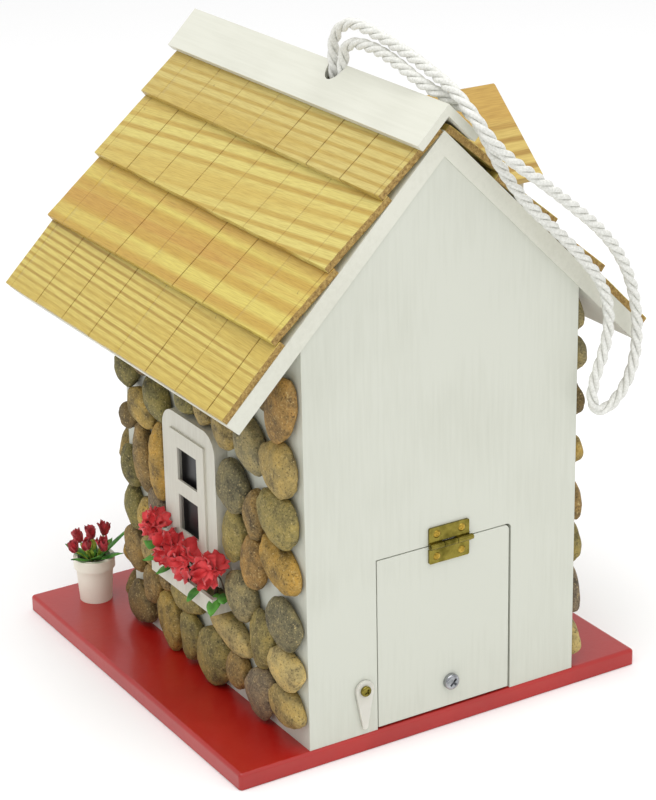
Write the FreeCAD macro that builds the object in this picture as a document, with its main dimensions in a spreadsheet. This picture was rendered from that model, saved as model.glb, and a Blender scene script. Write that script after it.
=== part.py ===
# Cottage birdhouse, in millimetres.
# +Z is up, the front faces -Y and the clean-out door faces +Y. The origin is the middle of the
# footprint on the ground. A painted box of four walls stands on a red base under a 45 degree roof;
# lapped planks cover the roof, pebbles cover three walls, and a rope loop comes out of the ridge.
import FreeCAD, Part
import math
import os
import random
import Sketcher

V = FreeCAD.Vector
ROOT_HALF = math.sqrt(0.5)
FILM = 0.1  # a film of glue or paint between pieces that are made as free shapes

doc = FreeCAD.newDocument("birdhouse")
sheet = doc.addObject("Spreadsheet::Sheet", "sizes")

# Every size that can be set by itself: alias, value, what it is.
SIZES = [
    ("wall_width", 130, "outside width of the four walls"),
    ("wall_depth", 150, "outside depth of the four walls"),
    ("wall_thickness", 8, "wall board"),
    ("eave_height", 178.8, "height of the roof's underside at the outer wall face"),
    ("rear_face", 96, "Y of the rear wall's outer face"),
    ("base_width", 196, "base, side to side"),
    ("base_depth", 194, "base, front to back"),
    ("base_thickness", 7.2, "base board"),
    ("base_edge", 1.6, "rounding of the base's edges"),
    ("roof_length", 193, "roof boards, front to back"),
    ("roof_board", 7.2, "roof board"),
    ("eave_reach", 92.8, "X of the roof board's lower corner"),
    ("shingle_thickness", 3.1, "roof plank"),
    ("shingle_exposure", 34, "bare width of a lapped plank"),
    ("shingle_lap", 3, "width of a plank under the next one"),
    ("shingle_play", 0.2338, "lifts a lapped plank clear of the one below"),
    ("shingle_gap", 0.8, "gap at the ridge between the top planks"),
    ("kerf_pitch", 25, "spacing of the saw cuts across a plank"),
    ("kerf_start", 15, "first saw cut from a plank's end, ridge and lower rows"),
    ("kerf_start_between", 6, "first saw cut from a plank's end, upper and eave rows"),
    ("kerf_width", 0.7, "saw cut, across"),
    ("kerf_depth", 0.6, "saw cut, deep"),
    ("cap_thickness", 3.4, "ridge cap board"),
    ("cap_width", 20, "ridge cap, down the slope"),
    ("cap_length", 199, "ridge cap, front to back"),
    ("glue_gap", 0.1, "film of glue or paint between boards"),
    ("rope_diameter", 5, "hanging rope"),
    ("rope_hole", 11.6, "hole through the ridge for both ends of the rope"),
    ("dormer_width", 71, "dormer roof across its eaves"),
    ("dormer_pitch", 41.5, "degrees"),
    ("dormer_ridge", 245.5, "height of the dormer's ridge"),
    ("dormer_reach", 76, "distance of the dormer's outer edge from the middle plane"),
    ("dormer_board", 4, "dormer roof, front and cheeks"),
    ("dormer_overhang", 6, "dormer roof past its front and cheeks"),
    ("doorway_width", 65.6, "clean-out opening"),
    ("doorway_top", 83.2, "height of the clean-out opening's top edge"),
    ("door_gap", 0.5, "gap round the clean-out door"),
    ("door_wide_gap", 1.1, "gap at the door's free -X edge"),
    ("door_corner", 2.2, "rounding of the doorway's upper -X corner"),
    ("stop_width", 9, "door stop strip"),
    ("stop_thickness", 5, "door stop strip"),
    ("stop_cover", 4, "how far a stop covers the door's edge"),
    ("hinge_width", 19.4, "butt hinge along its pin"),
    ("hinge_leaf", 7.9, "from the pin's axis to a leaf's far edge"),
    ("hinge_plate", 0.9, "leaf thickness"),
    ("knuckle_radius", 1.35, "hinge barrel"),
    ("pin_radius", 0.75, "hinge pin"),
    ("pin_play", 0.05, "radial play of the door leaf on the pin"),
    ("hinge_offset", 1.8, "hinge centre, from the middle plane towards -X"),
    ("latch_clear", 6.6, "latch pivot, from the clean-out opening's side"),
    ("latch_pivot_height", 27.6, "latch pivot, above the ground"),
    ("latch_length", 17.6, "latch pivot to tip"),
    ("latch_round", 4.2, "radius of the latch's round end"),
    ("latch_thickness", 1.1, "latch tab"),
    ("latch_lift", 0.35, "gap between the latch and the wall"),
    ("pull_height", 19.3, "pull screw, above the ground"),
    ("pull_out", 2.8, "pull screw, from the middle plane towards -X"),
    ("entry_radius", 16, "entrance hole"),
    ("entry_height", 108, "entrance hole's centre"),
    ("front_door_width", 50, "front door panel"),
    ("front_door_top", 132, "height of the front door panel"),
    ("front_door_board", 3, "front door panel"),
    ("front_door_corner", 7, "rounding of the front door panel's upper corners"),
    ("window_centre", 13, "Y of the window's middle"),
    ("window_plate_width", 45, "window backing plate"),
    ("window_plate_top", 124, "height of the backing plate's top"),
    ("window_plate_bottom", 57, "height of the backing plate's lower edge"),
    ("window_plate_board", 6.1, "window backing plate"),
    ("window_corner", 9, "rounding of the plate's upper corners"),
    ("frame_width", 29, "window frame"),
    ("frame_top", 116.5, "height of the window frame's top"),
    ("frame_bottom", 66, "height of the window frame's lower edge"),
    ("frame_board", 1, "window frame"),
    ("pane_width", 16.5, "window opening"),
    ("upper_pane_top", 109.5, "upper window opening"),
    ("muntin_top", 95, "bar between the openings"),
    ("muntin_bottom", 88.6, "bar between the openings"),
    ("lower_pane_bottom", 72.4, "lower window opening"),
    ("pane_board", 4.1, "black panel behind the frame"),
    ("box_length", 53.6, "flower box"),
    ("box_reach", 12, "flower box, out from the wall"),
    ("box_bottom", 47.4, "height of the flower box's underside"),
    ("box_height", 7.4, "flower box"),
    ("box_wall", 1.6, "flower box boards"),
    ("pot_out", 74, "X of the flower pot"),
    ("pot_y", -78, "Y of the flower pot"),
    ("pot_foot", 7.3, "flower pot's radius at its foot"),
    ("pot_mouth", 8.4, "flower pot's radius under its rim"),
    ("pot_rim", 9.4, "flower pot's radius at its rim"),
    ("pot_height", 21, "flower pot"),
    ("pot_band", 5, "height of the pot's rim band"),
    ("pot_wall", 1.4, "flower pot"),
    ("plank_seat", 0, "height of a plank's lower face in its own frame"),
    ("pot_seat", 0, "height of the pot's foot in its own frame"),
    ("pebble_relief", 9, "how far a middling pebble stands out"),
]

# Sizes that follow from the ones above.
DERIVED = [
    ("half_width", "wall_width / 2"),
    ("inner_half", "half_width - wall_thickness"),
    ("front_face", "rear_face - wall_depth"),
    ("inner_rear", "rear_face - wall_thickness"),
    ("inner_front", "front_face + wall_thickness"),
    ("house_centre", "rear_face - wall_depth / 2"),
    ("peak", "eave_height + half_width"),
    ("inner_eave", "peak - inner_half"),
    ("half_roof", "roof_length / 2"),
    ("board_rise", "roof_board * sqrt(2)"),
    ("ridge_top", "peak + board_rise"),
    ("eave_low", "peak - eave_reach"),
    ("eave_tip_x", "eave_reach + roof_board / sqrt(2)"),
    ("eave_tip_z", "eave_low + roof_board / sqrt(2)"),
    ("slope_length", "eave_reach * sqrt(2)"),
    ("plank_width", "shingle_exposure + shingle_lap"),
    ("top_plank_start", "shingle_gap - roof_board"),
    ("top_plank_end", "slope_length - 3 * shingle_exposure"),
    ("top_plank_width", "top_plank_end - top_plank_start"),
    ("half_kerf", "kerf_width / 2"),
    ("shingle_tilt", "atan((shingle_thickness + shingle_play) / shingle_exposure) / 1 deg"),
    ("cap_under", "(roof_board + (cap_width - cap_thickness - top_plank_start) * tan(shingle_tilt)"
                  " + shingle_thickness / cos(shingle_tilt) + glue_gap) / (1 + tan(shingle_tilt))"),
    ("cap_over", "cap_under + cap_thickness"),
    ("cap_edge", "cap_width - cap_over"),
    ("half_cap", "cap_length / 2"),
    ("half_doorway", "doorway_width / 2"),
    ("latch_pivot_out", "half_doorway + latch_clear"),
    ("door_plus", "half_doorway - door_gap"),
    ("door_minus", "half_doorway - door_wide_gap"),
    ("door_top", "doorway_top - door_gap"),
    ("door_bottom", "base_thickness + door_gap * 2"),
    ("stop_outer", "half_doorway + stop_width - stop_cover"),
    ("stop_inner", "half_doorway - stop_cover"),
    ("stop_back", "inner_rear - stop_thickness"),
    ("half_front_door", "front_door_width / 2"),
    ("front_door_face", "front_face - front_door_board"),
    ("pot_band_low", "pot_height - pot_band"),
    ("pot_inner", "pot_rim - pot_wall * 1.4"),
    ("pot_inner_foot", "pot_foot - pot_wall"),
]

row = 0
for alias, value, note in SIZES:
    row += 1
    sheet.set(f"A{row}", note)
    sheet.set(f"B{row}", str(value))
    sheet.setAlias(f"B{row}", alias)
for alias, formula in DERIVED:
    row += 1
    sheet.set(f"B{row}", "=" + formula)
    sheet.setAlias(f"B{row}", alias)
doc.recompute()

pieces = []


def size(alias):
    """The number that the sheet holds under an alias."""
    return float(sheet.get(alias))


def amount(term):
    """The number and the expression of an alias, which may carry a minus sign."""
    alias = term.lstrip("-")
    sign = "-" if term.startswith("-") else ""
    number = size(alias)
    return (-number if sign else number), f"{sign}sizes.{alias}"


def keep(thing, label):
    """Name an object as a piece of the birdhouse, which is written to its own file."""
    thing.Label = label
    pieces.append(thing)
    return thing


def outline(body, name, role, corners):
    """A closed sketch on one of the body's planes, each corner tied to the sheet."""
    sketch = body.newObject("Sketcher::SketchObject", name)
    plane = [feature for feature in body.Origin.OriginFeatures if feature.Role == role][0]
    sketch.AttachmentSupport = [(plane, "")]
    sketch.MapMode = "FlatFace"
    spots = [[(0.0, None) if term == 0 else amount(term) for term in corner] for corner in corners]
    count = len(spots)
    for index, spot in enumerate(spots):
        after = spots[(index + 1) % count]
        start = V(spot[0][0], spot[1][0], 0)
        sketch.addGeometry(Part.LineSegment(start, V(after[0][0], after[1][0], 0)), False)
    for index in range(count):
        sketch.addConstraint(Sketcher.Constraint("Coincident", index, 2, (index + 1) % count, 1))
    for index, spot in enumerate(spots):
        for axis, kind, (number, expression) in zip((-2, -1), ("DistanceX", "DistanceY"), spot):
            if expression is None:
                sketch.addConstraint(Sketcher.Constraint("PointOnObject", index, 1, axis))
            else:
                tied = sketch.addConstraint(Sketcher.Constraint(kind, index, 1, number))
                sketch.setExpression(f"Constraints[{tied}]", expression)
    return sketch


def board(name, role, corners, low, high):
    """A body padded from an outline, between two sheet values along the plane's axis."""
    body = doc.addObject("PartDesign::Body", name)
    sketch = outline(body, name + "_outline", role, corners)
    start = amount(high)[1] if role == "XZ_Plane" else amount(low)[1]
    sign = "-" if role == "XZ_Plane" else ""
    sketch.setExpression("AttachmentOffset.Base.z", f"{sign}({start})")
    pad = body.newObject("PartDesign::Pad", name + "_pad")
    pad.Profile = sketch
    pad.setExpression("Length", f"({amount(high)[1]}) - ({amount(low)[1]})")
    doc.recompute()
    return body


def pocket(body, name, role, corners, low, high):
    """Cut an outline out of a body, between two sheet values along the plane's axis."""
    before = body.Shape.Volume
    sketch = outline(body, name + "_outline", role, corners)
    start = amount(low)[1] if role == "XZ_Plane" else amount(high)[1]
    sign = "-" if role == "XZ_Plane" else ""
    sketch.setExpression("AttachmentOffset.Base.z", f"{sign}({start})")
    cut_out = body.newObject("PartDesign::Pocket", name)
    cut_out.Profile = sketch
    cut_out.setExpression("Length", f"({amount(high)[1]}) - ({amount(low)[1]})")
    doc.recompute()
    if body.Shape.Volume > before - 1e-3:
        raise RuntimeError(name + " cuts nothing")
    return cut_out


def round_edges(body, name, radius, wanted):
    """Round the edges of the body's last feature that a test picks out."""
    last = body.Tip
    names = [f"Edge{i + 1}" for i, edge in enumerate(last.Shape.Edges) if wanted(edge)]
    fillet = body.newObject("PartDesign::Fillet", name)
    fillet.Base = (last, names)
    fillet.setExpression("Radius", "sizes." + radius)
    doc.recompute()


def box(name, spans):
    """A Part box from three pairs of sheet expressions."""
    block = doc.addObject("Part::Box", name)
    for (low, high), side, axis in zip(spans, ("Length", "Width", "Height"), "xyz"):
        block.setExpression(side, f"({high}) - ({low})")
        block.setExpression("Placement.Base." + axis, low)
    return block


def cylinder(name, radius, height, start, direction):
    """A Part cylinder from sheet expressions, along one axis."""
    turn = {"x": FreeCAD.Rotation(V(0, 1, 0), 90), "y": FreeCAD.Rotation(V(1, 0, 0), -90),
            "z": FreeCAD.Rotation()}[direction]
    rod = doc.addObject("Part::Cylinder", name)
    rod.Placement = FreeCAD.Placement(V(), turn)
    rod.setExpression("Radius", radius)
    rod.setExpression("Height", height)
    for axis, place in zip("xyz", start):
        rod.setExpression("Placement.Base." + axis, place)
    return rod


def less(name, base, *tools):
    """The base with each tool cut away in turn."""
    for number, tool in enumerate(tools):
        result = doc.addObject("Part::Cut", f"{name}_{number}")
        result.Base = base
        result.Tool = tool
        base = result
    return base


def solid(name, shape):
    """An object that holds a shape made with Part's functions."""
    holder = doc.addObject("Part::Feature", name)
    holder.Shape = shape
    return holder


def on_slope(down, out, side=1):
    """Where a point lies that is so far down the roof's underside and so far out from it."""
    return V(side * (down + out) * ROOT_HALF, 0, size("peak") + (out - down) * ROOT_HALF)


# ---- Screws: each is a head and a shank on one axis, its head outwards along +Z ----
def flat_screw(head, sink, shank, length):
    cone = Part.makeCone(shank, head, sink, V(0, 0, -sink))
    return cone.fuse(Part.makeCylinder(shank, length - sink, V(0, 0, -length))).removeSplitter()


def pan_screw(head, rise, shank, length):
    """A pan-head screw with a cross recess."""
    top = Part.makeCylinder(head, rise)
    rim = [edge for edge in top.Edges if abs(edge.BoundBox.ZMin - rise) < 1e-6]
    top = top.makeFillet(rise * 0.55, rim)
    slot = Part.makeBox(head * 1.1, head * 0.28, rise * 0.6, V(-head * 0.55, -head * 0.14, rise * 0.5))
    for angle in (45, -45):
        cut_arm = slot.copy()
        cut_arm.rotate(V(), V(0, 0, 1), angle)
        top = top.cut(cut_arm)
    return top.fuse(Part.makeCylinder(shank, length, V(0, 0, -length))).removeSplitter()


def group(name, shape, places, turn):
    """Copies of one fastener, each in its place, as separate solids."""
    copies = []
    for place in places:
        one = shape.copy()
        one.Placement = FreeCAD.Placement(place, turn)
        copies.append(one)
    return solid(name, Part.makeCompound(copies))


FACING_BACK = FreeCAD.Rotation(V(1, 0, 0), -90)
FACING_DOWN = FreeCAD.Rotation(V(1, 0, 0), 180)

pin_y = size("rear_face") + size("knuckle_radius") + FILM
pin_z = size("doorway_top") - size("door_gap") / 2
hinge_x = -size("hinge_offset")
leaf_middle = size("hinge_leaf") * 0.62
screw_out = size("hinge_width") * 0.31
plate_face = size("rear_face") + size("hinge_plate")

hinge_screw = flat_screw(1.7, 0.8, 0.85, 7)
wall_screws = group("wall_screws", hinge_screw, [V(hinge_x + dx, plate_face, pin_z + leaf_middle)
                    for dx in (-screw_out, screw_out)], FACING_BACK)
door_screws = group("door_screws", hinge_screw, [V(hinge_x + dx, plate_face, pin_z - leaf_middle)
                    for dx in (-screw_out, screw_out)], FACING_BACK)

base_screw = flat_screw(3.2, 2.2, 1.5, 21)
wall_line = size("half_width") - size("wall_thickness") / 2
screw_row = [size("inner_front") + 24, size("house_centre"), size("inner_rear") - 24]
base_screws = group("base_screw_group", base_screw, [V(side * wall_line, y, 0.3) for side in (1, -1)
                    for y in screw_row], FACING_DOWN)

latch_face = size("rear_face") + size("latch_lift") + size("latch_thickness")
latch_place = V(size("latch_pivot_out"), latch_face + FILM, size("latch_pivot_height"))
latch_screw = group("latch_screw_one", pan_screw(2.3, 1.3, 1.1, 8), [latch_place], FACING_BACK)
pull_place = V(-size("pull_out"), size("rear_face"), size("pull_height"))
pull_screw = group("pull_screw_one", pan_screw(3.5, 2.4, 1.4, 6.5), [pull_place], FACING_BACK)

# ---- Base: one board with softened edges, with countersunk holes for the screws ----
base_x = "sizes.base_width / 2"
base_y = "sizes.base_depth / 2"
base_body = doc.addObject("PartDesign::Body", "base_body")
base_sketch = base_body.newObject("Sketcher::SketchObject", "base_outline")
ground = [feature for feature in base_body.Origin.OriginFeatures if feature.Role == "XY_Plane"][0]
base_sketch.AttachmentSupport = [(ground, "")]
base_sketch.MapMode = "FlatFace"
half_x = size("base_width") / 2
half_y = size("base_depth") / 2
ring = [V(-half_x, -half_y), V(half_x, -half_y), V(half_x, half_y), V(-half_x, half_y)]
for index in range(4):
    base_sketch.addGeometry(Part.LineSegment(ring[index], ring[(index + 1) % 4]), False)
for index in range(4):
    base_sketch.addConstraint(Sketcher.Constraint("Coincident", index, 2, (index + 1) % 4, 1))
for index, kind in enumerate(("Horizontal", "Vertical", "Horizontal", "Vertical")):
    base_sketch.addConstraint(Sketcher.Constraint(kind, index))
base_sketch.addConstraint(Sketcher.Constraint("Symmetric", 0, 1, 2, 1, -1, 1))
across = base_sketch.addConstraint(Sketcher.Constraint("DistanceX", 0, 1, 0, 2, half_x * 2))
base_sketch.setExpression(f"Constraints[{across}]", "sizes.base_width")
along = base_sketch.addConstraint(Sketcher.Constraint("DistanceY", 1, 1, 1, 2, half_y * 2))
base_sketch.setExpression(f"Constraints[{along}]", "sizes.base_depth")
base_pad = base_body.newObject("PartDesign::Pad", "base_pad")
base_pad.Profile = base_sketch
base_pad.setExpression("Length", "sizes.base_thickness")
doc.recompute()
round_edges(base_body, "base_rounding", "base_edge", lambda edge: edge.BoundBox.ZMax > 1)
keep(less("base_drilled", base_body, base_screws), "base_plate")
keep(base_screws, "base_screws")

# ---- Walls: the gable boards run the full width, the side boards stand between them ----
gable = [("-half_width", "base_thickness"), ("half_width", "base_thickness"),
         ("half_width", "eave_height"), (0, "peak"), ("-half_width", "eave_height")]
rear_body = board("rear_body", "XZ_Plane", gable, "inner_rear", "rear_face")
doorway = [("-half_doorway", "base_thickness"), ("half_doorway", "base_thickness"),
           ("half_doorway", "doorway_top"), ("-half_doorway", "doorway_top")]
pocket(rear_body, "doorway", "XZ_Plane", doorway, "inner_rear", "rear_face")
round_edges(rear_body, "doorway_corner", "door_corner", lambda edge:
            abs(edge.CenterOfMass.x + size("half_doorway")) < 0.01
            and abs(edge.CenterOfMass.z - size("doorway_top")) < 0.01
            and edge.BoundBox.YLength > 1)
keep(less("rear_drilled", rear_body, wall_screws, latch_screw), "rear_wall")

front_body = board("front_body", "XZ_Plane", gable, "front_face", "inner_front")
entry = cylinder("entry_bore", "sizes.entry_radius", "sizes.wall_thickness + sizes.front_door_board + 2",
                 ("0", "sizes.front_door_face - 1", "sizes.entry_height"), "y")
keep(less("front_drilled", front_body, entry), "front_wall")

plus_wall = [("inner_half", "base_thickness"), ("half_width", "base_thickness"),
             ("half_width", "eave_height"), ("inner_half", "inner_eave")]
minus_wall = [("-" + x, z) for x, z in reversed(plus_wall)]
for label, shape in (("window_wall", plus_wall), ("side_wall", minus_wall)):
    wall = board(label + "_body", "XZ_Plane", shape, "inner_front", "inner_rear")
    keep(less(label + "_drilled", wall, base_screws), label)

# ---- Roof boards: mitred at the ridge, drilled for the rope ----
rope_bore = cylinder("rope_bore", "sizes.rope_hole / 2", "sizes.wall_width / 2",
                     ("0", "sizes.house_centre", "sizes.peak - 2 * sizes.rope_hole"), "z")
plus_board = [(0, "peak"), ("eave_reach", "eave_low"), ("eave_tip_x", "eave_tip_z"), (0, "ridge_top")]
minus_board = [(x if x == 0 else "-" + x, z) for x, z in reversed(plus_board)]
for label, shape in (("roof_board_window_side", plus_board), ("roof_board_far_side", minus_board)):
    slope = board(label + "_body", "XZ_Plane", shape, "-half_roof", "half_roof")
    keep(less(label + "_drilled", slope, rope_bore), label)


# ---- Roof planks: four lapped rows on each slope, with saw cuts that look like shingles ----
def plank(name, width, start):
    """A plank in its own frame: X down the slope, Z out of it, with a row of saw cuts."""
    body = board(name, "XY_Plane", [(0, "-half_roof"), (width, "-half_roof"), (width, "half_roof"),
                                    (0, "half_roof")], "plank_seat", "shingle_thickness")
    before = body.Shape.Volume
    sketch = body.newObject("Sketcher::SketchObject", name + "_kerf_outline")
    plane = [feature for feature in body.Origin.OriginFeatures if feature.Role == "XY_Plane"][0]
    sketch.AttachmentSupport = [(plane, "")]
    sketch.MapMode = "FlatFace"
    sketch.setExpression("AttachmentOffset.Base.z", "sizes.shingle_thickness")
    first = -size("half_roof") + size(start)
    reach = size(width) + 1
    low, high = first - size("half_kerf"), first + size("half_kerf")
    ends = [V(-1, low), V(reach, low), V(reach, high), V(-1, high)]
    for index in range(4):
        sketch.addGeometry(Part.LineSegment(ends[index], ends[(index + 1) % 4]), False)
        sketch.addConstraint(Sketcher.Constraint("Block", index))
    for index in range(4):
        sketch.addConstraint(Sketcher.Constraint("Coincident", index, 2, (index + 1) % 4, 1))
    kerf = body.newObject("PartDesign::Pocket", name + "_kerf")
    kerf.Profile = sketch
    kerf.setExpression("Length", "sizes.kerf_depth")
    doc.recompute()
    count = int((size("roof_length") - size(start)) / size("kerf_pitch")) + 1
    pattern = body.newObject("PartDesign::LinearPattern", name + "_kerfs")
    pattern.Originals = [kerf]
    pattern.Direction = (sketch, ["V_Axis"])
    pattern.Length = size("kerf_pitch") * (count - 1)
    pattern.Occurrences = count
    body.Tip = pattern
    doc.recompute()
    if body.Shape.Volume > before - 1:
        raise RuntimeError(name + " has no saw cuts")
    return body


ROW_NAMES = ("ridge", "upper", "lower", "eave")
plank_starts = []
for number, row_name in enumerate(ROW_NAMES):
    below = 3 - number
    width = "top_plank_width" if number == 0 else "plank_width"
    end = size("slope_length") - below * size("shingle_exposure")
    start = end - size(width)
    tilt = 0 if below == 0 else size("shingle_tilt")
    plank_starts.append((start, end, tilt))
    for side, side_name in ((1, "window_side"), (-1, "far_side")):
        label = f"shingle_{row_name}_{side_name}"
        strip = plank(label + "_body", width, "kerf_start" if number % 2 == 0 else "kerf_start_between")
        turn = FreeCAD.Rotation(V(0, 1, 0), 45 - tilt)
        if side < 0:
            turn = FreeCAD.Rotation(V(0, 0, 1), 180).multiply(turn)
        strip.Placement = FreeCAD.Placement(on_slope(start, size("roof_board"), side), turn)
        piece = less(label + "_drilled", strip, rope_bore) if number == 0 else strip
        keep(piece, label)

# ---- Ridge cap: two thin boards mitred together over the top planks ----
cap_ring = [(0, "cap_under"), (0, "cap_over"), ("cap_edge", "cap_over"), ("cap_edge", "cap_under")]
for side, label in ((1, "ridge_cap_window_side"), (-1, "ridge_cap_far_side")):
    under = size("cap_under")
    over = size("cap_over")
    edge = size("cap_edge")
    corners = [on_slope(-under, under, side), on_slope(-over, over, side), on_slope(edge, over, side),
               on_slope(edge, under, side)]
    half = size("half_cap")
    ring = Part.makePolygon([corner + V(0, -half, 0) for corner in corners + corners[:1]])
    strip = solid(label + "_strip", Part.Face(ring).extrude(V(0, 2 * half, 0)))
    keep(less(label + "_drilled", strip, rope_bore), label)

# ---- Dormer: a little gable on the far slope, scribed to the planks that it sits on ----
SCRIBE_DEPTH = 120  # deep enough to leave nothing of the dormer below the roof
INNER_END = -8  # X where the dormer's pieces end before they are scribed
CHEEK_FOOT = 150  # below the roof wherever the dormer stands
steps = []
board_line = size("roof_board")
thick = size("shingle_thickness")
for start, end, tilt in plank_starts:
    lean = math.radians(tilt)
    seen = steps[-1][0] if steps else start
    for spot in (seen, end):
        steps.append((spot, board_line + (spot - start) * math.tan(lean) + thick / math.cos(lean)
                      + size("glue_gap")))
under_roof = [on_slope(down, out, -1) for down, out in steps]
under_roof += [on_slope(steps[-1][0], -SCRIBE_DEPTH, -1), on_slope(steps[0][0], -SCRIBE_DEPTH, -1)]
half_scribe = size("half_roof")
scribe_ring = Part.makePolygon([corner + V(0, -half_scribe, 0) for corner in under_roof + under_roof[:1]])
scribe = solid("dormer_scribe", Part.Face(scribe_ring).extrude(V(0, 2 * half_scribe, 0)))

dormer_middle = size("house_centre")
dormer_half = size("dormer_width") / 2
pitch = math.radians(size("dormer_pitch"))
dormer_thick = size("dormer_board")
wall_half = dormer_half - size("dormer_overhang")
soffit = size("dormer_ridge") - dormer_thick / math.cos(pitch)
outer = -size("dormer_reach")
front_x = outer + size("dormer_overhang")


def along_x(points, low, high):
    """A prism along X from points given as distance from the dormer's middle and height."""
    ring = [V(low, dormer_middle + out, height) for out, height in points]
    return Part.Face(Part.makePolygon(ring + ring[:1])).extrude(V(high - low, 0, 0))


for side, label in ((1, "rear"), (-1, "front")):
    drop = dormer_half * math.tan(pitch)
    foot_out = dormer_half - dormer_thick * math.sin(pitch)
    foot_down = size("dormer_ridge") - drop - dormer_thick * math.cos(pitch)
    slab = [(0, size("dormer_ridge")), (side * dormer_half, size("dormer_ridge") - drop),
            (side * foot_out, foot_down), (0, soffit)]
    leaf = solid(f"dormer_leaf_{label}", along_x(slab, outer, INNER_END))
    keep(less(f"dormer_leaf_cut_{label}", leaf, scribe), f"dormer_roof_{label}")
    inner = wall_half - dormer_thick
    cheek = [(side * inner, soffit - FILM - inner * math.tan(pitch)),
             (side * wall_half, soffit - FILM - wall_half * math.tan(pitch)),
             (side * wall_half, CHEEK_FOOT), (side * inner, CHEEK_FOOT)]
    web = solid(f"dormer_web_{label}", along_x(cheek, front_x + dormer_thick, INNER_END))
    keep(less(f"dormer_web_cut_{label}", web, scribe), f"dormer_cheek_{label}")
shoulder = soffit - FILM - wall_half * math.tan(pitch)
face = [(0, soffit - FILM), (wall_half, shoulder), (wall_half, CHEEK_FOOT), (-wall_half, CHEEK_FOOT),
        (-wall_half, shoulder)]
face_board = solid("dormer_face", along_x(face, front_x, front_x + dormer_thick))
keep(less("dormer_face_cut", face_board, scribe), "dormer_front_board")

# ---- Clean-out door: a drop-in board with stops behind its edges, hinged along its top ----
door = board("door_body", "XZ_Plane", [("-door_minus", "door_bottom"), ("door_plus", "door_bottom"),
             ("door_plus", "door_top"), ("-door_minus", "door_top")], "inner_rear", "rear_face")
round_edges(door, "door_rounding", "door_corner", lambda edge:
            abs(edge.CenterOfMass.x + size("door_minus")) < 0.01
            and abs(edge.CenterOfMass.z - size("door_top")) < 0.01
            and edge.BoundBox.YLength > 1)
keep(less("door_drilled", door, door_screws, pull_screw), "cleanout_door")
keep(pull_screw, "pull_screw")
for sign, label in (("", "plus"), ("-", "minus")):
    low, high = ("stop_inner", "stop_outer") if sign == "" else ("-stop_outer", "-stop_inner")
    strip = box("door_stop_" + label, ((amount(low)[1], amount(high)[1]),
                ("sizes.stop_back", "sizes.inner_rear - sizes.door_gap / 5"),
                ("sizes.base_thickness", "sizes.doorway_top - 6")))
    keep(strip, "door_stop_" + ("window_side" if sign == "" else "far_side"))

# ---- Hinge: two leaves with interleaved knuckles on one pin ----
knuckle = size("knuckle_radius")
third = size("hinge_width") / 3
play = size("pin_play") * 5


def barrel(low, high, bore):
    tube = Part.makeCylinder(knuckle, high - low, V(low, pin_y, pin_z), V(1, 0, 0))
    return tube.cut(Part.makeCylinder(bore, high - low + 2, V(low - 1, pin_y, pin_z), V(1, 0, 0)))


def leaf(name, up, own, bore):
    """A leaf that covers the hinge's width, with barrels in its own spans only."""
    start_x = hinge_x - size("hinge_width") / 2
    clear = knuckle + play
    z_low = pin_z + clear if up else pin_z - size("hinge_leaf")
    height = size("hinge_leaf") - clear
    corner = V(start_x, size("rear_face"), z_low)
    shape = Part.makeBox(size("hinge_width"), size("hinge_plate"), height, corner)
    corner_edges = [edge for edge in shape.Edges if edge.BoundBox.YLength > 0.5
                    and abs(edge.CenterOfMass.z - (pin_z + (1 if up else -1) * size("hinge_leaf"))) < 0.01]
    shape = shape.makeFillet(0.8, corner_edges)
    for low, high in own:
        x = start_x + low * third + (play / 2 if low > 0 else 0)
        x_end = start_x + high * third - (play / 2 if high < 3 else 0)
        strap_z = pin_z + 0.3 if up else pin_z - clear - 0.1
        strap = Part.makeBox(x_end - x, size("hinge_plate"), clear - 0.2, V(x, size("rear_face"), strap_z))
        strap = strap.cut(Part.makeCylinder(bore, x_end - x, V(x, pin_y, pin_z), V(1, 0, 0)))
        shape = shape.fuse(strap).fuse(barrel(x, x_end, bore))
    return solid(name, shape.removeSplitter())


wall_leaf = leaf("wall_leaf", True, [(0, 1), (2, 3)], size("pin_radius"))
door_leaf = leaf("door_leaf", False, [(1, 2)], size("pin_radius") + size("pin_play"))
keep(less("wall_leaf_drilled", wall_leaf, wall_screws), "hinge_leaf_wall")
keep(less("door_leaf_drilled", door_leaf, door_screws), "hinge_leaf_door")
keep(wall_screws, "hinge_screws_wall")
keep(door_screws, "hinge_screws_door")
pin_start = hinge_x - size("hinge_width") / 2 - 1.2
pin_shape = Part.makeCylinder(size("pin_radius"), size("hinge_width") + 1.4, V(pin_start, pin_y, pin_z),
                              V(1, 0, 0))
pin_head = Part.makeCylinder(knuckle * 0.9, 1.1, V(pin_start, pin_y, pin_z), V(1, 0, 0))
keep(solid("hinge_pin_rod", pin_shape.fuse(pin_head).removeSplitter()), "hinge_pin")

# ---- Turn latch: a thin tear-shaped tab on one screw, hanging open ----
pivot = V(size("latch_pivot_out"), size("rear_face") + size("latch_lift"), size("latch_pivot_height"))
round_end = size("latch_round")
tip_radius = 1.2
reach = size("latch_length") - tip_radius
lean = math.asin((round_end - tip_radius) / reach)


def around(radius, angle, drop=0.0):
    """A point of the tab's outline, on a circle centred below the pivot."""
    return pivot + V(radius * math.cos(angle), 0, radius * math.sin(angle) - drop)


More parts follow.
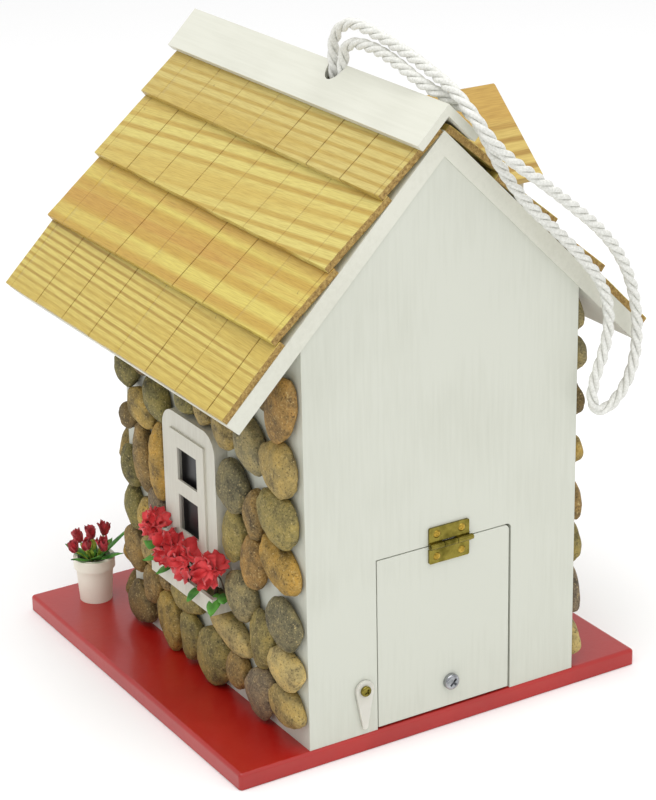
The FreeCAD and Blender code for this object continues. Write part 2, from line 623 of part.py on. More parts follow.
edges = [Part.Arc(around(round_end, -lean), around(round_end, math.pi / 2),
                  around(round_end, math.pi + lean)).toShape(),
         Part.LineSegment(around(round_end, math.pi + lean),
                          around(tip_radius, math.pi + lean, reach)).toShape(),
         Part.Arc(around(tip_radius, math.pi + lean, reach), around(tip_radius, -math.pi / 2, reach),
                  around(tip_radius, -lean, reach)).toShape(),
         Part.LineSegment(around(tip_radius, -lean, reach), around(round_end, -lean)).toShape()]
tab = Part.Face(Part.Wire(edges)).extrude(V(0, size("latch_thickness"), 0))
tab = tab.cut(Part.makeCylinder(1.2, 5, pivot + V(0, -1, 0), V(0, 1, 0)))
keep(solid("latch_tab", tab), "turn_latch")
keep(latch_screw, "latch_screw")

# ---- Front door panel round the entrance hole ----
panel = board("front_door_body", "XZ_Plane", [("-half_front_door", "base_thickness"),
              ("half_front_door", "base_thickness"), ("half_front_door", "front_door_top"),
              ("-half_front_door", "front_door_top")], "front_door_face", "front_face")
round_edges(panel, "front_door_rounding", "front_door_corner", lambda edge:
            abs(edge.CenterOfMass.z - size("front_door_top")) < 0.01 and edge.BoundBox.YLength > 1)
keep(less("front_door_drilled", panel, entry), "front_door")

# ---- Window on the +X wall: plate, black panel in its opening, moulded frame over both ----
wall_x = "sizes.half_width"
plate_x = "sizes.half_width + sizes.window_plate_board"
middle = "sizes.window_centre"


def window_span(width):
    return f"{middle} - {width} / 2", f"{middle} + {width} / 2"


plate = box("plate_board", ((wall_x, plate_x), window_span("sizes.window_plate_width"),
                            ("sizes.window_plate_bottom", "sizes.window_plate_top")))
doc.recompute()
rounded = doc.addObject("Part::Fillet", "plate_rounded")
rounded.Base = plate
upper = [index + 1 for index, edge in enumerate(plate.Shape.Edges)
         if abs(edge.CenterOfMass.z - size("window_plate_top")) < 0.01 and edge.BoundBox.XLength > 1]
rounded.Edges = [(index, size("window_corner"), size("window_corner")) for index in upper]
recess_width = "(sizes.pane_width + 4)"
recess = box("plate_recess", ((wall_x + " - 1", plate_x + " + 1"), window_span(recess_width),
                              ("sizes.lower_pane_bottom - 2", "sizes.upper_pane_top + 2")))
keep(less("plate_cut", rounded, recess), "window_plate")
keep(box("pane_panel", ((wall_x + " + 0.1", wall_x + " + sizes.pane_board"),
                        window_span("(sizes.pane_width + 3.6)"),
                        ("sizes.lower_pane_bottom - 1.8", "sizes.upper_pane_top + 1.8"))), "window_panes")
frame_blank = box("frame_blank", ((plate_x, plate_x + " + sizes.frame_board"),
                                  window_span("sizes.frame_width"),
                                  ("sizes.frame_bottom", "sizes.frame_top")))
lights = [box(name, ((plate_x + " - 1", plate_x + " + sizes.frame_board + 1"),
                     window_span("sizes.pane_width"), (low, high)))
          for name, low, high in (("upper_light", "sizes.muntin_top", "sizes.upper_pane_top"),
                                  ("lower_light", "sizes.lower_pane_bottom", "sizes.muntin_bottom"))]
keep(less("frame_cut", frame_blank, *lights), "window_frame")

# ---- Flower box under the window: an open trough, with moss, leaves and three flower heads ----
box_top = "sizes.box_bottom + sizes.box_height"
trough = box("trough", ((wall_x, wall_x + " + sizes.box_reach"), window_span("sizes.box_length"),
                        ("sizes.box_bottom", box_top)))
hollow = box("trough_hollow", ((wall_x + " + sizes.box_wall", wall_x + " + sizes.box_reach - sizes.box_wall"),
                               window_span("(sizes.box_length - 2 * sizes.box_wall)"),
                               ("sizes.box_bottom + sizes.box_wall", box_top + " + 1")))
keep(less("trough_cut", trough, hollow), "flower_box")
moss = box("moss", ((wall_x + " + sizes.box_wall + 0.1",
                     wall_x + " + sizes.box_reach - sizes.box_wall - 0.1"),
                    window_span("(sizes.box_length - 2 * sizes.box_wall - 0.2)"),
                    ("sizes.box_bottom + sizes.box_wall", box_top + " - 1.2")))
keep(moss, "flower_box_moss")


def lump(centre, radii, tip=0.0, around_axis=V(1, 0, 0)):
    """A closed ellipsoid, tipped by an angle in degrees."""
    scale = FreeCAD.Matrix()
    scale.scale(V(*radii))
    shape = Part.makeSphere(1).transformGeometry(scale)
    shape.rotate(V(), around_axis, tip)
    shape.translate(V(*centre))
    return shape


heads_z = size("box_bottom") + size("box_height")
head_x = size("half_width") + size("box_reach") + 1
centre_y = size("window_centre")
HEADS = [(-17, 8.6, 8.5), (0.5, 7.6, 9.5), (17, 7.2, 8)]
blooms = [lump((head_x, centre_y + along, heads_z + lift), (5.0, spread, 6.2))
          for along, lift, spread in HEADS]
keep(solid("box_blooms", Part.makeCompound(blooms)), "flower_box_blooms")
BOX_LEAVES = [(-3.2, -28.6, 3.2, 24), (2.9, -9, -2.6, 10), (2.9, 9.2, -2.6, -10), (-3.2, 28.4, 3.2, -24)]
blades = [lump((head_x + out, centre_y + along, heads_z + lift), (2.4, 3.4, 0.7), tip)
          for out, along, lift, tip in BOX_LEAVES]
keep(solid("box_blades", Part.makeCompound(blades)), "flower_box_leaves")

# ---- Flower pot on the base: a turned pot with a rim band, soil, leaves and blooms ----
pot = doc.addObject("PartDesign::Body", "pot_body")
pot_sketch = outline(pot, "pot_outline", "XZ_Plane", [
    (0, "pot_seat"), ("pot_foot", "pot_seat"), ("pot_mouth", "pot_band_low"), ("pot_rim", "pot_band_low"),
    ("pot_rim", "pot_height"), ("pot_inner", "pot_height"), ("pot_inner_foot", "pot_wall"),
    (0, "pot_wall")])
turned = pot.newObject("PartDesign::Revolution", "pot_turned")
turned.Profile = pot_sketch
turned.ReferenceAxis = (pot_sketch, ["V_Axis"])
turned.Angle = 360
doc.recompute()
for axis, place in zip("xyz", ("sizes.pot_out", "sizes.pot_y", "sizes.base_thickness")):
    pot.setExpression("Placement.Base." + axis, place)
keep(pot, "flower_pot")
soil_top = size("pot_height") - 2.4
soil_low = soil_top - 4


def pot_bore(height):
    """The pot's inside radius at a height above its foot."""
    share = (height - size("pot_wall")) / (size("pot_height") - size("pot_wall"))
    return size("pot_inner_foot") + share * (size("pot_inner") - size("pot_inner_foot"))


pot_foot_place = V(size("pot_out"), size("pot_y"), size("base_thickness"))
soil = Part.makeCone(pot_bore(soil_low) - 0.1, pot_bore(soil_top) - 0.1, soil_top - soil_low,
                     pot_foot_place + V(0, 0, soil_low))
keep(solid("pot_soil_plug", soil), "flower_pot_soil")
pot_top = size("base_thickness") + size("pot_height")
POT_HEADS = [(4.5, 3.5, 11, 4.2), (-4.8, 2.4, 9.5, 4.0), (0.6, -5.2, 8.2, 4.2)]
blooms = [lump((size("pot_out") + out, size("pot_y") + along, pot_top + lift), (spread, spread, 3.6))
          for out, along, lift, spread in POT_HEADS]
keep(solid("pot_bloom_group", Part.makeCompound(blooms)), "flower_pot_blooms")
POT_LEAVES = [(8.2, 4.0, 3.2, 25), (-8.5, 3.5, 3.6, -20), (2.0, 9.6, 3.0, 30), (1.0, -9.4, 2.6, -30)]
blades = [lump((size("pot_out") + out, size("pot_y") + along, pot_top + lift), (3.4, 2.6, 0.7), tip)
          for out, along, lift, tip in POT_LEAVES]
keep(solid("pot_blade_group", Part.makeCompound(blades)), "flower_pot_leaves")


# ---- Pebbles: flat-backed stones glued side by side over three walls ----
LONGEST_PEBBLE = 17.5


def oval(stone, spot_count=20):
    """Points round a stone's outline on its wall: along, height."""
    along, height, half_long, half_short, tilt = stone
    lean = math.radians(tilt)
    points = []
    for step in range(spot_count):
        angle = 2 * math.pi * step / spot_count
        u = half_long * math.cos(angle)
        w = half_short * math.sin(angle)
        points.append((along + u * math.cos(lean) - w * math.sin(lean),
                       height + u * math.sin(lean) + w * math.cos(lean)))
    return points


def covers(stone, point, room=0.3):
    """Whether a point lies inside a stone's outline, grown by a little room."""
    along, height, half_long, half_short, tilt = stone
    lean = math.radians(tilt)
    du = point[0] - along
    dw = point[1] - height
    u = du * math.cos(lean) + dw * math.sin(lean)
    w = -du * math.sin(lean) + dw * math.cos(lean)
    return (u / (half_long + room)) ** 2 + (w / (half_short + room)) ** 2 < 1


def patch_push(stone, blocked):
    """Which way a stone has to move to leave the patches (low, high, floor, top), or None."""
    inside = [V(u - stone[0], z - stone[1], 0) for low, high, floor, top in blocked
              for u, z in oval(stone) if low < u < high and floor < z < top]
    if not inside:
        return None
    push = V()
    for spot in inside:
        push -= spot
    return push.normalize() if push.Length > 1e-6 else V(0, 1, 0)


def meet(stone, other):
    """Whether two stones touch."""
    if abs(other[0] - stone[0]) + abs(other[1] - stone[1]) > 60:
        return False
    return (any(covers(other, point) for point in oval(stone))
            or any(covers(stone, point) for point in oval(other)))


def settle(stones, blocked, step=0.3, trim=0.994, growth=1.035):
    """Push and trim stones until none touches another or a blocked patch, then grow them to fit."""
    stones = [list(stone) for stone in stones]
    for _ in range(220):
        tight = set()
        for index, stone in enumerate(stones):
            push = patch_push(stone, blocked)
            if push:
                tight.add(index)
                stone[0] += push.x * step * 1.5
                stone[1] += push.y * step * 1.5
            for other in range(index + 1, len(stones)):
                if meet(stone, stones[other]):
                    tight.update((index, other))
                    away = V(stones[other][0] - stone[0], stones[other][1] - stone[1], 0).normalize()
                    for moved, sign in ((stone, -step), (stones[other], step)):
                        moved[0] += sign * away.x
                        moved[1] += sign * away.y
        if not tight:
            break
        for index in tight:
            stones[index][2] *= trim
            stones[index][3] *= trim
    if tight:
        raise RuntimeError("pebbles still touch")
    for _ in range(8):
        for index, stone in enumerate(stones):
            for axis in (2, 3):
                stone[axis] *= growth
                others = stones[:index] + stones[index + 1:]
                if (stone[axis] > LONGEST_PEBBLE or patch_push(stone, blocked)
                        or any(meet(stone, other) for other in others)):
                    stone[axis] /= growth
    return stones


def pebbles(label, stones, blocked, place):
    """A node of separate pebbles; place turns (along, height, outward) into a point."""
    shapes = []
    relief = random.Random(11)
    for along, height, half_long, half_short, tilt in settle(stones, blocked):
        rise = size("pebble_relief") * (0.55 + 0.35 * half_short / 10) * relief.uniform(0.92, 1.1)
        frame = FreeCAD.Matrix()
        frame.scale(V(half_long, half_short, rise))
        dome = Part.makeSphere(1, V(), V(0, 0, 1), 0, 90, 360).transformGeometry(frame)
        dome.rotate(V(), V(0, 0, 1), tilt)
        dome.Placement = place(along, height).multiply(dome.Placement)
        shapes.append(dome)
    keep(solid(label + "_group", Part.makeCompound(shapes)), label)


def on_plus_wall(along, height):
    turn = FreeCAD.Rotation(V(0, 1, 0), V(0, 0, 1), V(1, 0, 0), "ZXY")
    return FreeCAD.Placement(V(size("half_width"), along, height), turn)


def on_minus_wall(along, height):
    turn = FreeCAD.Rotation(V(0, -1, 0), V(0, 0, 1), V(-1, 0, 0), "ZXY")
    return FreeCAD.Placement(V(-size("half_width"), along, height), turn)


def on_front_wall(along, height):
    turn = FreeCAD.Rotation(V(1, 0, 0), V(0, 0, 1), V(0, -1, 0), "ZXY")
    return FreeCAD.Placement(V(along, size("front_face"), height), turn)


# Each stone: distance from the rear corner, height, half length, half width, tilt in degrees.
CORNER_STONES = [
    (10, 152, 13.5, 9.5, 110), (14, 127, 14, 11.5, 35), (15, 105.5, 14, 10.5, 15), (15, 83.5, 15.5, 9.5, 30),
    (12.5, 58.5, 11, 10, 15), (12, 40.5, 12, 9, 10), (12, 23.8, 12, 8.5, 10),
    (35, 130, 14, 11, 50), (34, 101, 11.5, 7.5, 100), (34, 77, 13, 9, 100), (34, 48, 14, 9.5, 92),
    (32.5, 21.8, 12.4, 10.5, 95), (27, 156, 9, 6, 60),
]
NEAR_STONES = [
    (49.8, 105, 11.5, 10.8, 90), (56.5, 124, 11, 9, 75), (51, 80.5, 13, 8, 105), (51, 59.5, 13, 11.5, 60),
    (56.5, 38, 14.5, 6.5, 12), (50.5, 22.8, 8.8, 8.5, 90), (70.7, 21, 13, 12, 110),
]
FAR_STONES = [
    (90.7, 20.8, 11, 9, 90), (113, 20.5, 13, 10, 65), (125.5, 31, 10, 7.5, 100), (140, 22.5, 12.5, 10, 20),
    (142.5, 43.8, 11, 8, 70), (129, 46, 8, 7, 90), (115, 37, 6, 3.5, 0), (95.5, 37.5, 13, 6.6, 0),
    (143.5, 66.5, 11, 8, 75), (133.5, 63.5, 9.5, 7.5, 95), (119.5, 72.5, 11.5, 6.6, 35),
    (144.5, 86, 10.5, 6.5, 65), (132.5, 89.5, 17, 8.2, 82), (115, 94, 13.5, 8.4, 90),
    (143.5, 103.8, 7.5, 6.5, 175), (131, 115.5, 12, 9.5, 30), (113.5, 120.5, 12.5, 9.5, 60),
    (143, 125, 9, 8.5, 15), (127, 132, 9, 6, 15),
]
TOP_STONES = [(88, 131.5, 7.5, 6.2, 0), (73.5, 131.5, 7, 6.4, 0)]


def upper_stones(low, high, seed):
    """Two courses of middling stones high under the eave, between two distances."""
    pick = random.Random(seed)
    stones = []
    for course, height in enumerate((146, 163)):
        along = low + course * 8
        while along < high:
            stones.append((along, height + pick.uniform(-1.5, 1.5), pick.uniform(9, 10.5),
                           pick.uniform(7.2, 8.6), pick.uniform(-25, 25)))
            along += pick.uniform(17.5, 20)
    return stones


def from_corner(stones):
    """Move stones from distances off the rear corner to Y."""
    return [(size("rear_face") - along, height, half_long, half_short, 180 - tilt)
            for along, height, half_long, half_short, tilt in stones]


FAR_OFF = 400
STONE_GAP = 0.8
low_stone = size("base_thickness")
eave_line = size("eave_height") - 6
ground_strip = (-FAR_OFF, FAR_OFF, -FAR_OFF, low_stone + 0.3)
eave_strip = (-FAR_OFF, FAR_OFF, eave_line, FAR_OFF)
past_front = (-FAR_OFF, size("front_face") + 1, -FAR_OFF, FAR_OFF)
past_rear = (size("rear_face") - STONE_GAP, FAR_OFF, -FAR_OFF, FAR_OFF)
wall_ends = [ground_strip, eave_strip, past_front, past_rear]
plate_low, plate_high = (centre_y + sign * (size("window_plate_width") / 2 + 0.6) for sign in (-1, 1))
box_low, box_high = (centre_y + sign * (size("box_length") / 2 + 0.6) for sign in (-1, 1))
window_patch = (plate_low, plate_high, size("box_bottom"), size("window_plate_top") + STONE_GAP)
box_patch = (box_low, box_high, size("box_bottom") - STONE_GAP, heads_z + 10)
window_stones = from_corner(CORNER_STONES + NEAR_STONES + FAR_STONES + TOP_STONES
                            + upper_stones(47, 145, 3))
pebbles("pebbles_window_wall", window_stones, wall_ends + [window_patch, box_patch], on_plus_wall)

# The other side wall has no window: its stones are turned and filled in behind the middle.
FILL_STONES = [(92, 58, 11, 9, 40), (73, 72, 12, 9, 100), (95, 79, 11, 10, 20), (73, 96, 12, 9, 80),
               (94, 101, 10, 9, 60), (72, 117, 9, 8, 20), (92, 118, 9, 8, 150), (76, 46, 9, 10, 0)]


def other_way(stones):
    """The same stones counted from the other end of the wall, leaning the other way."""
    return [(size("wall_depth") - along, height, half_long, half_short, 180 - tilt)
            for along, height, half_long, half_short, tilt in stones]


side_stones = from_corner(other_way(NEAR_STONES + FAR_STONES + TOP_STONES + FILL_STONES)
                          + other_way(CORNER_STONES) + upper_stones(5, 145, 5))
pebbles("pebbles_side_wall", side_stones, wall_ends, on_minus_wall)


def course_stones(low, high, floor, top, seed):
    """Courses of uneven stones filling a patch of wall."""
    pick = random.Random(seed)
    stones = []
    height = floor + 10
    course = 0
    while height < top:
        along = low + 8 + (course % 2) * 7
        while along < high - 5:
            stones.append((along, height + pick.uniform(-2, 2), pick.uniform(9, 11.5),
                           pick.uniform(7.5, 9.5), pick.uniform(-40, 40)))
            along += pick.uniform(17, 20)
        height += 18
        course += 1
    return stones


half_panel = size("half_front_door") + STONE_GAP
front_edge = size("half_width") + 1
front_stones = course_stones(-front_edge, front_edge, low_stone, size("eave_height") - 8, 17)
corner_reach = front_edge + 2.5
past_sides = [(corner_reach, FAR_OFF, -FAR_OFF, FAR_OFF), (-FAR_OFF, -corner_reach, -FAR_OFF, FAR_OFF)]
panel_patch = (-half_panel, half_panel, 0, size("front_door_top") + STONE_GAP)
front_stones = [stone for stone in front_stones
                if abs(stone[0]) > half_panel + 4 or stone[1] > size("front_door_top") + 6]
pebbles("pebbles_front_wall", front_stones, [ground_strip, panel_patch] + past_sides, on_front_wall)

# ---- Hanging rope: one length, both ends tied in a knot under the ridge ----
rope_radius = size("rope_diameter") / 2
ROPE_ROUTE = [
    (0, 18, 233), (0, 18, 254.5), (1.5, 18, 276), (0.5, 31, 284), (-2, 47, 281), (-3.5, 64, 277.5),
    (-4, 80.5, 273.5), (-3.5, 97, 269.5), (-6, 106, 262), (-10.5, 110.5, 252.5), (-20, 111, 242.5),
    (-35, 110.5, 231.5), (-52, 108.5, 218), (-66.5, 107, 206), (-78, 105.5, 193), (-86, 104, 178),
    (-89.5, 103.5, 162), (-89, 103.5, 146), (-83.5, 103.5, 133), (-74, 103.5, 125.5), (-67, 103.5, 129),
    (-67.5, 103.5, 139.5), (-73, 104, 153.5), (-75, 104, 167), (-71, 104, 181.5), (-60, 104, 195),
    (-47, 104.5, 208), (-35, 104.5, 219), (-26.5, 104, 229.5), (-20, 103, 239.5), (-14.5, 104, 249.5),
    (-9.5, 101, 260.5), (-4.5, 90, 265), (-1, 78.5, 268.5), (-1, 64.5, 272.5), (-1, 49, 275.5),
    (0.5, 34.5, 276), (0.5, 24.5, 271.5), (0, 23.8, 252), (0, 23.8, 233),
]


def rope_path(route):
    """Straight runs joined by tangent arcs, each as large as its two runs allow."""
    points = [V(*spot) for spot in route]
    edges = []
    at = points[0]
    radii = []
    for before, corner, after in zip(points, points[1:], points[2:]):
        back = (before - corner)
        ahead = (after - corner)
        run = min(back.Length, ahead.Length)
        back.normalize()
        ahead.normalize()
        turn = math.pi - back.getAngle(ahead)
        trim = 0.45 * run
        radii.append(trim / math.tan(turn / 2))
        start = corner + back * trim
        end = corner + ahead * trim
        bisector = (back + ahead).normalize()
        reach = radii[-1] / math.cos(turn / 2) - radii[-1]
        edges.append(Part.LineSegment(at, start).toShape())
        edges.append(Part.Arc(start, corner + bisector * reach, end).toShape())
        at = end
    edges.append(Part.LineSegment(at, points[-1]).toShape())
    return Part.Wire(edges), radii


path, radii = rope_path(ROPE_ROUTE)
profile = Part.Wire(Part.Circle(V(*ROPE_ROUTE[0]), V(0, 0, 1), rope_radius).toShape())
rope = path.makePipeShell([profile], True, False)
print("rope radii:", " ".join(f"{radius:.1f}" for radius in radii))
expected = math.pi * rope_radius ** 2 * path.Length
print(f"rope length {path.Length:.1f}, volume {rope.Volume:.0f}, section times length {expected:.0f}")
if abs(rope.Volume / expected - 1) > 0.01:
    raise RuntimeError("the rope's tube has the wrong volume")
keep(solid("rope_tube", rope), "hanging_rope")
knot_top = ROPE_ROUTE[0][2]
knot = lump((0, size("house_centre"), knot_top - 4), (6.2, 9.5, 7))
knot = knot.cut(Part.makeBox(40, 40, 20, V(-20, size("house_centre") - 20, knot_top)))
keep(solid("knot_body", knot), "rope_knot")

# ---- Check every object and piece, then write one file per piece ----
doc.recompute()
for thing in doc.Objects:
    if "Invalid" in thing.State or "Error" in thing.State:
        raise RuntimeError(f"{thing.Label} failed: {thing.State}")
os.makedirs("parts", exist_ok=True)
for piece in pieces:
    if piece.Shape.isNull() or not piece.Shape.isValid() or not piece.Shape.Solids:
        raise RuntimeError(f"{piece.Label} has no valid solid")
    piece.Shape.exportStep(os.path.join("parts", piece.Label + ".step"))
print(len(pieces), "pieces")
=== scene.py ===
import math
import random

import bpy
from mathutils import Matrix, Vector, noise


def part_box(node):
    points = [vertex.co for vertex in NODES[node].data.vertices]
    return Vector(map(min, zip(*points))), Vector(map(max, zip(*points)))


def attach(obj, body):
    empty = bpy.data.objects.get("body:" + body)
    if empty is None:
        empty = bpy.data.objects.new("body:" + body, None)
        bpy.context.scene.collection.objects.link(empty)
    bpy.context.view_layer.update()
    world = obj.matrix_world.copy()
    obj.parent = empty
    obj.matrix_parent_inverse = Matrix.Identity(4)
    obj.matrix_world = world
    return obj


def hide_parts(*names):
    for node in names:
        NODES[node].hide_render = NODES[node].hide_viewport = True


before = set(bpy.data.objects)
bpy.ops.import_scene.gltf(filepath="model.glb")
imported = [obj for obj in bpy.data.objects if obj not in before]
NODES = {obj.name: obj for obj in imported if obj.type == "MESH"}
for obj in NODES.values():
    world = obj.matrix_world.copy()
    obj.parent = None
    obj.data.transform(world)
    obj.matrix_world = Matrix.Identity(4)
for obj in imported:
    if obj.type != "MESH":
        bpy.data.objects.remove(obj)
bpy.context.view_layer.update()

# ---- Camera ----
# The house is seen from behind its window side, from above the eaves, with a long lens.
MM = 0.001
CAMERA_AT = Vector((506.4, 850.3, 505.3)) * MM
CAMERA_TARGET = Vector((2.99, 12.13, 117.5)) * MM
CAMERA_ROLL = math.radians(-1.147)
camera_data = bpy.data.cameras.new("camera")
camera_data.lens = 111.65
camera_data.sensor_width = 36
camera = bpy.data.objects.new("camera", camera_data)
bpy.context.scene.collection.objects.link(camera)
back = (CAMERA_AT - CAMERA_TARGET).normalized()
level = Vector((0, 0, 1)).cross(back).normalized()
upright = back.cross(level)
right = level * math.cos(CAMERA_ROLL) + upright * math.sin(CAMERA_ROLL)
up = upright * math.cos(CAMERA_ROLL) - level * math.sin(CAMERA_ROLL)
turned = Matrix((right, up, back)).transposed().to_4x4()
camera.matrix_world = Matrix.Translation(CAMERA_AT) @ turned
bpy.context.scene.camera = camera


# ---- Hanging rope ----
# White three-strand twisted polypropylene, 5 mm thick. Both ends go down through the ridge and are
# knotted inside; the loop stands up from the ridge, falls behind the house and folds at its end.
def linear(code):
    """An sRGB hex colour as linear RGBA."""
    parts = [int(code[i:i + 2], 16) / 255 for i in (1, 3, 5)]
    light = [p / 12.92 if p <= 0.04045 else ((p + 0.055) / 1.055) ** 2.4 for p in parts]
    return (*light, 1.0)


def per_mm(size):
    """The texture scale at which one feature measures so many millimetres."""
    return 1000 / size


def material(name, colour, roughness, **inputs):
    """A Principled material with constant settings; returns it with its node tree and shader."""
    made = bpy.data.materials.new(name)
    made.use_nodes = True
    shader = made.node_tree.nodes["Principled BSDF"]
    shader.inputs["Base Color"].default_value = linear(colour)
    shader.inputs["Roughness"].default_value = roughness
    for key, value in inputs.items():
        shader.inputs[key.replace("_", " ")].default_value = value
    return made, made.node_tree, shader


def add(tree, kind, links=None, **settings):
    """Add a node; a setting is an attribute of the node or the default of one of its inputs."""
    made = tree.nodes.new("ShaderNode" + kind)
    for key, value in settings.items():
        if hasattr(made, key):
            setattr(made, key, value)
        else:
            made.inputs[key.replace("_", " ")].default_value = value
    for socket, source in (links or {}).items():
        if isinstance(source, tuple) and isinstance(source[0], bpy.types.Node):
            tree.links.new(source[0].outputs[source[1]], made.inputs[socket])
        else:
            made.inputs[socket].default_value = source
    return made


def ramp(tree, source, stops):
    """A colour ramp over a value, from (position, hex colour) stops."""
    made = add(tree, "ValToRGB", {0: source})
    band = made.color_ramp
    while len(band.elements) < len(stops):
        band.elements.new(0.5)
    for element, (position, code) in zip(band.elements, stops):
        element.position = position
        element.color = linear(code)
    return made


def mottle(tree, shader, size_mm, dark, light, detail=3.0):
    """Let the colour wander between two tones over so many millimetres; returns the texture."""
    place = add(tree, "TexCoord")
    cloud = add(tree, "TexNoise", {"Vector": (place, "Object")}, Scale=per_mm(size_mm), Detail=detail)
    tone = ramp(tree, (cloud, "Fac"), [(0.35, dark), (0.62, light)])
    tree.links.new(tone.outputs[0], shader.inputs["Base Color"])
    return cloud


def bump(tree, shader, source, height_mm, strength=1.0):
    """Raise the surface by a value, at most so many millimetres."""
    made = add(tree, "Bump", {"Height": source}, Strength=strength, Distance=height_mm * MM)
    tree.links.new(made.outputs["Normal"], shader.inputs["Normal"])
    return made


def piece(name, verts, faces, materials, body="house", smooth=True, slots=None):
    """A new mesh object that rides on a body; slots gives each face's material number."""
    mesh = bpy.data.meshes.new(name)
    mesh.from_pydata([tuple(v) for v in verts], [], faces)
    for each in materials:
        mesh.materials.append(each)
    mesh.polygons.foreach_set("use_smooth", [smooth] * len(faces))
    if slots:
        mesh.polygons.foreach_set("material_index", slots)
    mesh.update()
    made = bpy.data.objects.new(name, mesh)
    bpy.context.scene.collection.objects.link(made)
    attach(made, body)
    return made


def evenly(points, step):
    """Points at about equal steps along a line of points."""
    lengths = [0.0]
    for a, b in zip(points, points[1:]):
        lengths.append(lengths[-1] + (b - a).length)
    count = max(2, round(lengths[-1] / step))
    spaced = []
    seen = 0
    for index in range(count + 1):
        target = lengths[-1] * index / count
        while seen < len(points) - 2 and lengths[seen + 1] < target:
            seen += 1
        span = lengths[seen + 1] - lengths[seen]
        share = (target - lengths[seen]) / span if span else 0
        spaced.append(points[seen].lerp(points[seen + 1], min(1, max(0, share))))
    return spaced


def frames_along(points):
    """At each point of a line, two unit vectors across it that turn as little as they can."""
    across = None
    found = []
    for index, point in enumerate(points):
        ahead = points[min(index + 1, len(points) - 1)] - points[max(index - 1, 0)]
        ahead.normalize()
        if across is None:
            across = ahead.orthogonal()
        across = (across - ahead * across.dot(ahead)).normalized()
        found.append((point, across, ahead.cross(across)))
    return found


def tube(points, radius, sides, verts, faces):
    """Add a closed round tube along points; radius is a number or one for each point."""
    first = len(verts)
    radii = radius if isinstance(radius, list) else [radius] * len(points)
    for (point, one, other), r in zip(frames_along(points), radii):
        for side in range(sides):
            angle = 2 * math.pi * side / sides
            verts.append(point + one * (r * math.cos(angle)) + other * (r * math.sin(angle)))
    for ring in range(len(points) - 1):
        for side in range(sides):
            a = first + ring * sides + side
            b = first + ring * sides + (side + 1) % sides
            faces.append((a, b, b + sides, a + sides))
    last = first + (len(points) - 1) * sides
    faces.append(tuple(range(first + sides - 1, first - 1, -1)))
    faces.append(tuple(range(last, last + sides)))


ROPE_THICK = 5 * MM
ROPE_PITCH = 18 * MM
ROPE_STEP = 1 * MM
STRAND_RADIUS = 0.232  # share of the rope's thickness
STRAND_OFFSET = 0.268  # share of the rope's thickness
ROPE_ROUTE = [
    (0, 18, 233), (0, 18, 254.5), (1.5, 18, 276), (0.5, 31, 284), (-2, 47, 281), (-3.5, 64, 277.5),
    (-4, 80.5, 273.5), (-3.5, 97, 269.5), (-6, 106, 262), (-10.5, 110.5, 252.5), (-20, 111, 242.5),
    (-35, 110.5, 231.5), (-52, 108.5, 218), (-66.5, 107, 206), (-78, 105.5, 193), (-86, 104, 178),
    (-89.5, 103.5, 162), (-89, 103.5, 146), (-83.5, 103.5, 133), (-74, 103.5, 125.5), (-67, 103.5, 129),
    (-67.5, 103.5, 139.5), (-73, 104, 153.5), (-75, 104, 167), (-71, 104, 181.5), (-60, 104, 195),
    (-47, 104.5, 208), (-35, 104.5, 219), (-26.5, 104, 229.5), (-20, 103, 239.5), (-14.5, 104, 249.5),
    (-9.5, 101, 260.5), (-4.5, 90, 265), (-1, 78.5, 268.5), (-1, 64.5, 272.5), (-1, 49, 275.5),
    (0.5, 34.5, 276), (0.5, 24.5, 271.5), (0, 23.8, 252), (0, 23.8, 233),
]
route = bpy.data.curves.new("rope_route", "CURVE")
route.dimensions = "3D"
line = route.splines.new("NURBS")
line.points.add(len(ROPE_ROUTE) - 1)
for spot, place in zip(line.points, ROPE_ROUTE):
    spot.co = (place[0] * MM, place[1] * MM, place[2] * MM, 1)
line.order_u = 3
line.use_endpoint_u = True
line.resolution_u = 12
route_object = bpy.data.objects.new("rope_route", route)
bpy.context.scene.collection.objects.link(route_object)
bpy.context.view_layer.update()
route_mesh = bpy.data.meshes.new_from_object(route_object)
centre_line = evenly([v.co.copy() for v in route_mesh.vertices], ROPE_STEP)
bpy.data.objects.remove(route_object)


def twisted(points, thick, pitch, sides=10):
    """Three strands laid round a line, as vertices and faces."""
    verts, faces = [], []
    run = (points[1] - points[0]).length
    rings = frames_along(points)
    for strand in range(3):
        path = []
        for index, (point, one, other) in enumerate(rings):
            angle = 2 * math.pi * (strand / 3 - index * run / pitch)
            outward = one * math.cos(angle) + other * math.sin(angle)
            path.append(point + outward * (thick * STRAND_OFFSET))
        tube(path, thick * STRAND_RADIUS, sides, verts, faces)
    return verts, faces


# Polypropylene fibre: white, a little glossy, with fine yarns.
rope_fibre, tree, shader = material("rope_fibre", "#DFDFD7", 0.55)
yarn = mottle(tree, shader, 0.9, "#D2D2CB", "#E6E6E0")
bump(tree, shader, (yarn, "Fac"), 0.12)

verts, faces = twisted(centre_line, ROPE_THICK, ROPE_PITCH)
rope = piece("rope", verts, faces, [rope_fibre])
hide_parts("hanging_rope")

# The knot under the ridge: the same rope, tied over itself, hidden in the roof space.
knot_low, knot_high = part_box("rope_knot")
knot_centre = (knot_low + knot_high) / 2
knot_line = []
KNOT_STEPS = 120
for step in range(KNOT_STEPS + 1):
    angle = 2 * math.pi * step / KNOT_STEPS
    knot_line.append(knot_centre + Vector((
        (math.sin(angle) + 2 * math.sin(2 * angle)) * 1.25,
        (math.cos(angle) - 2 * math.cos(2 * angle)) * 2.3,
        -math.sin(3 * angle) * 2.6)) * MM)
verts, faces = twisted(evenly(knot_line, 0.8 * MM), ROPE_THICK * 0.9, ROPE_PITCH)
knot = piece("knot", verts, faces, [rope_fibre])
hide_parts("rope_knot")


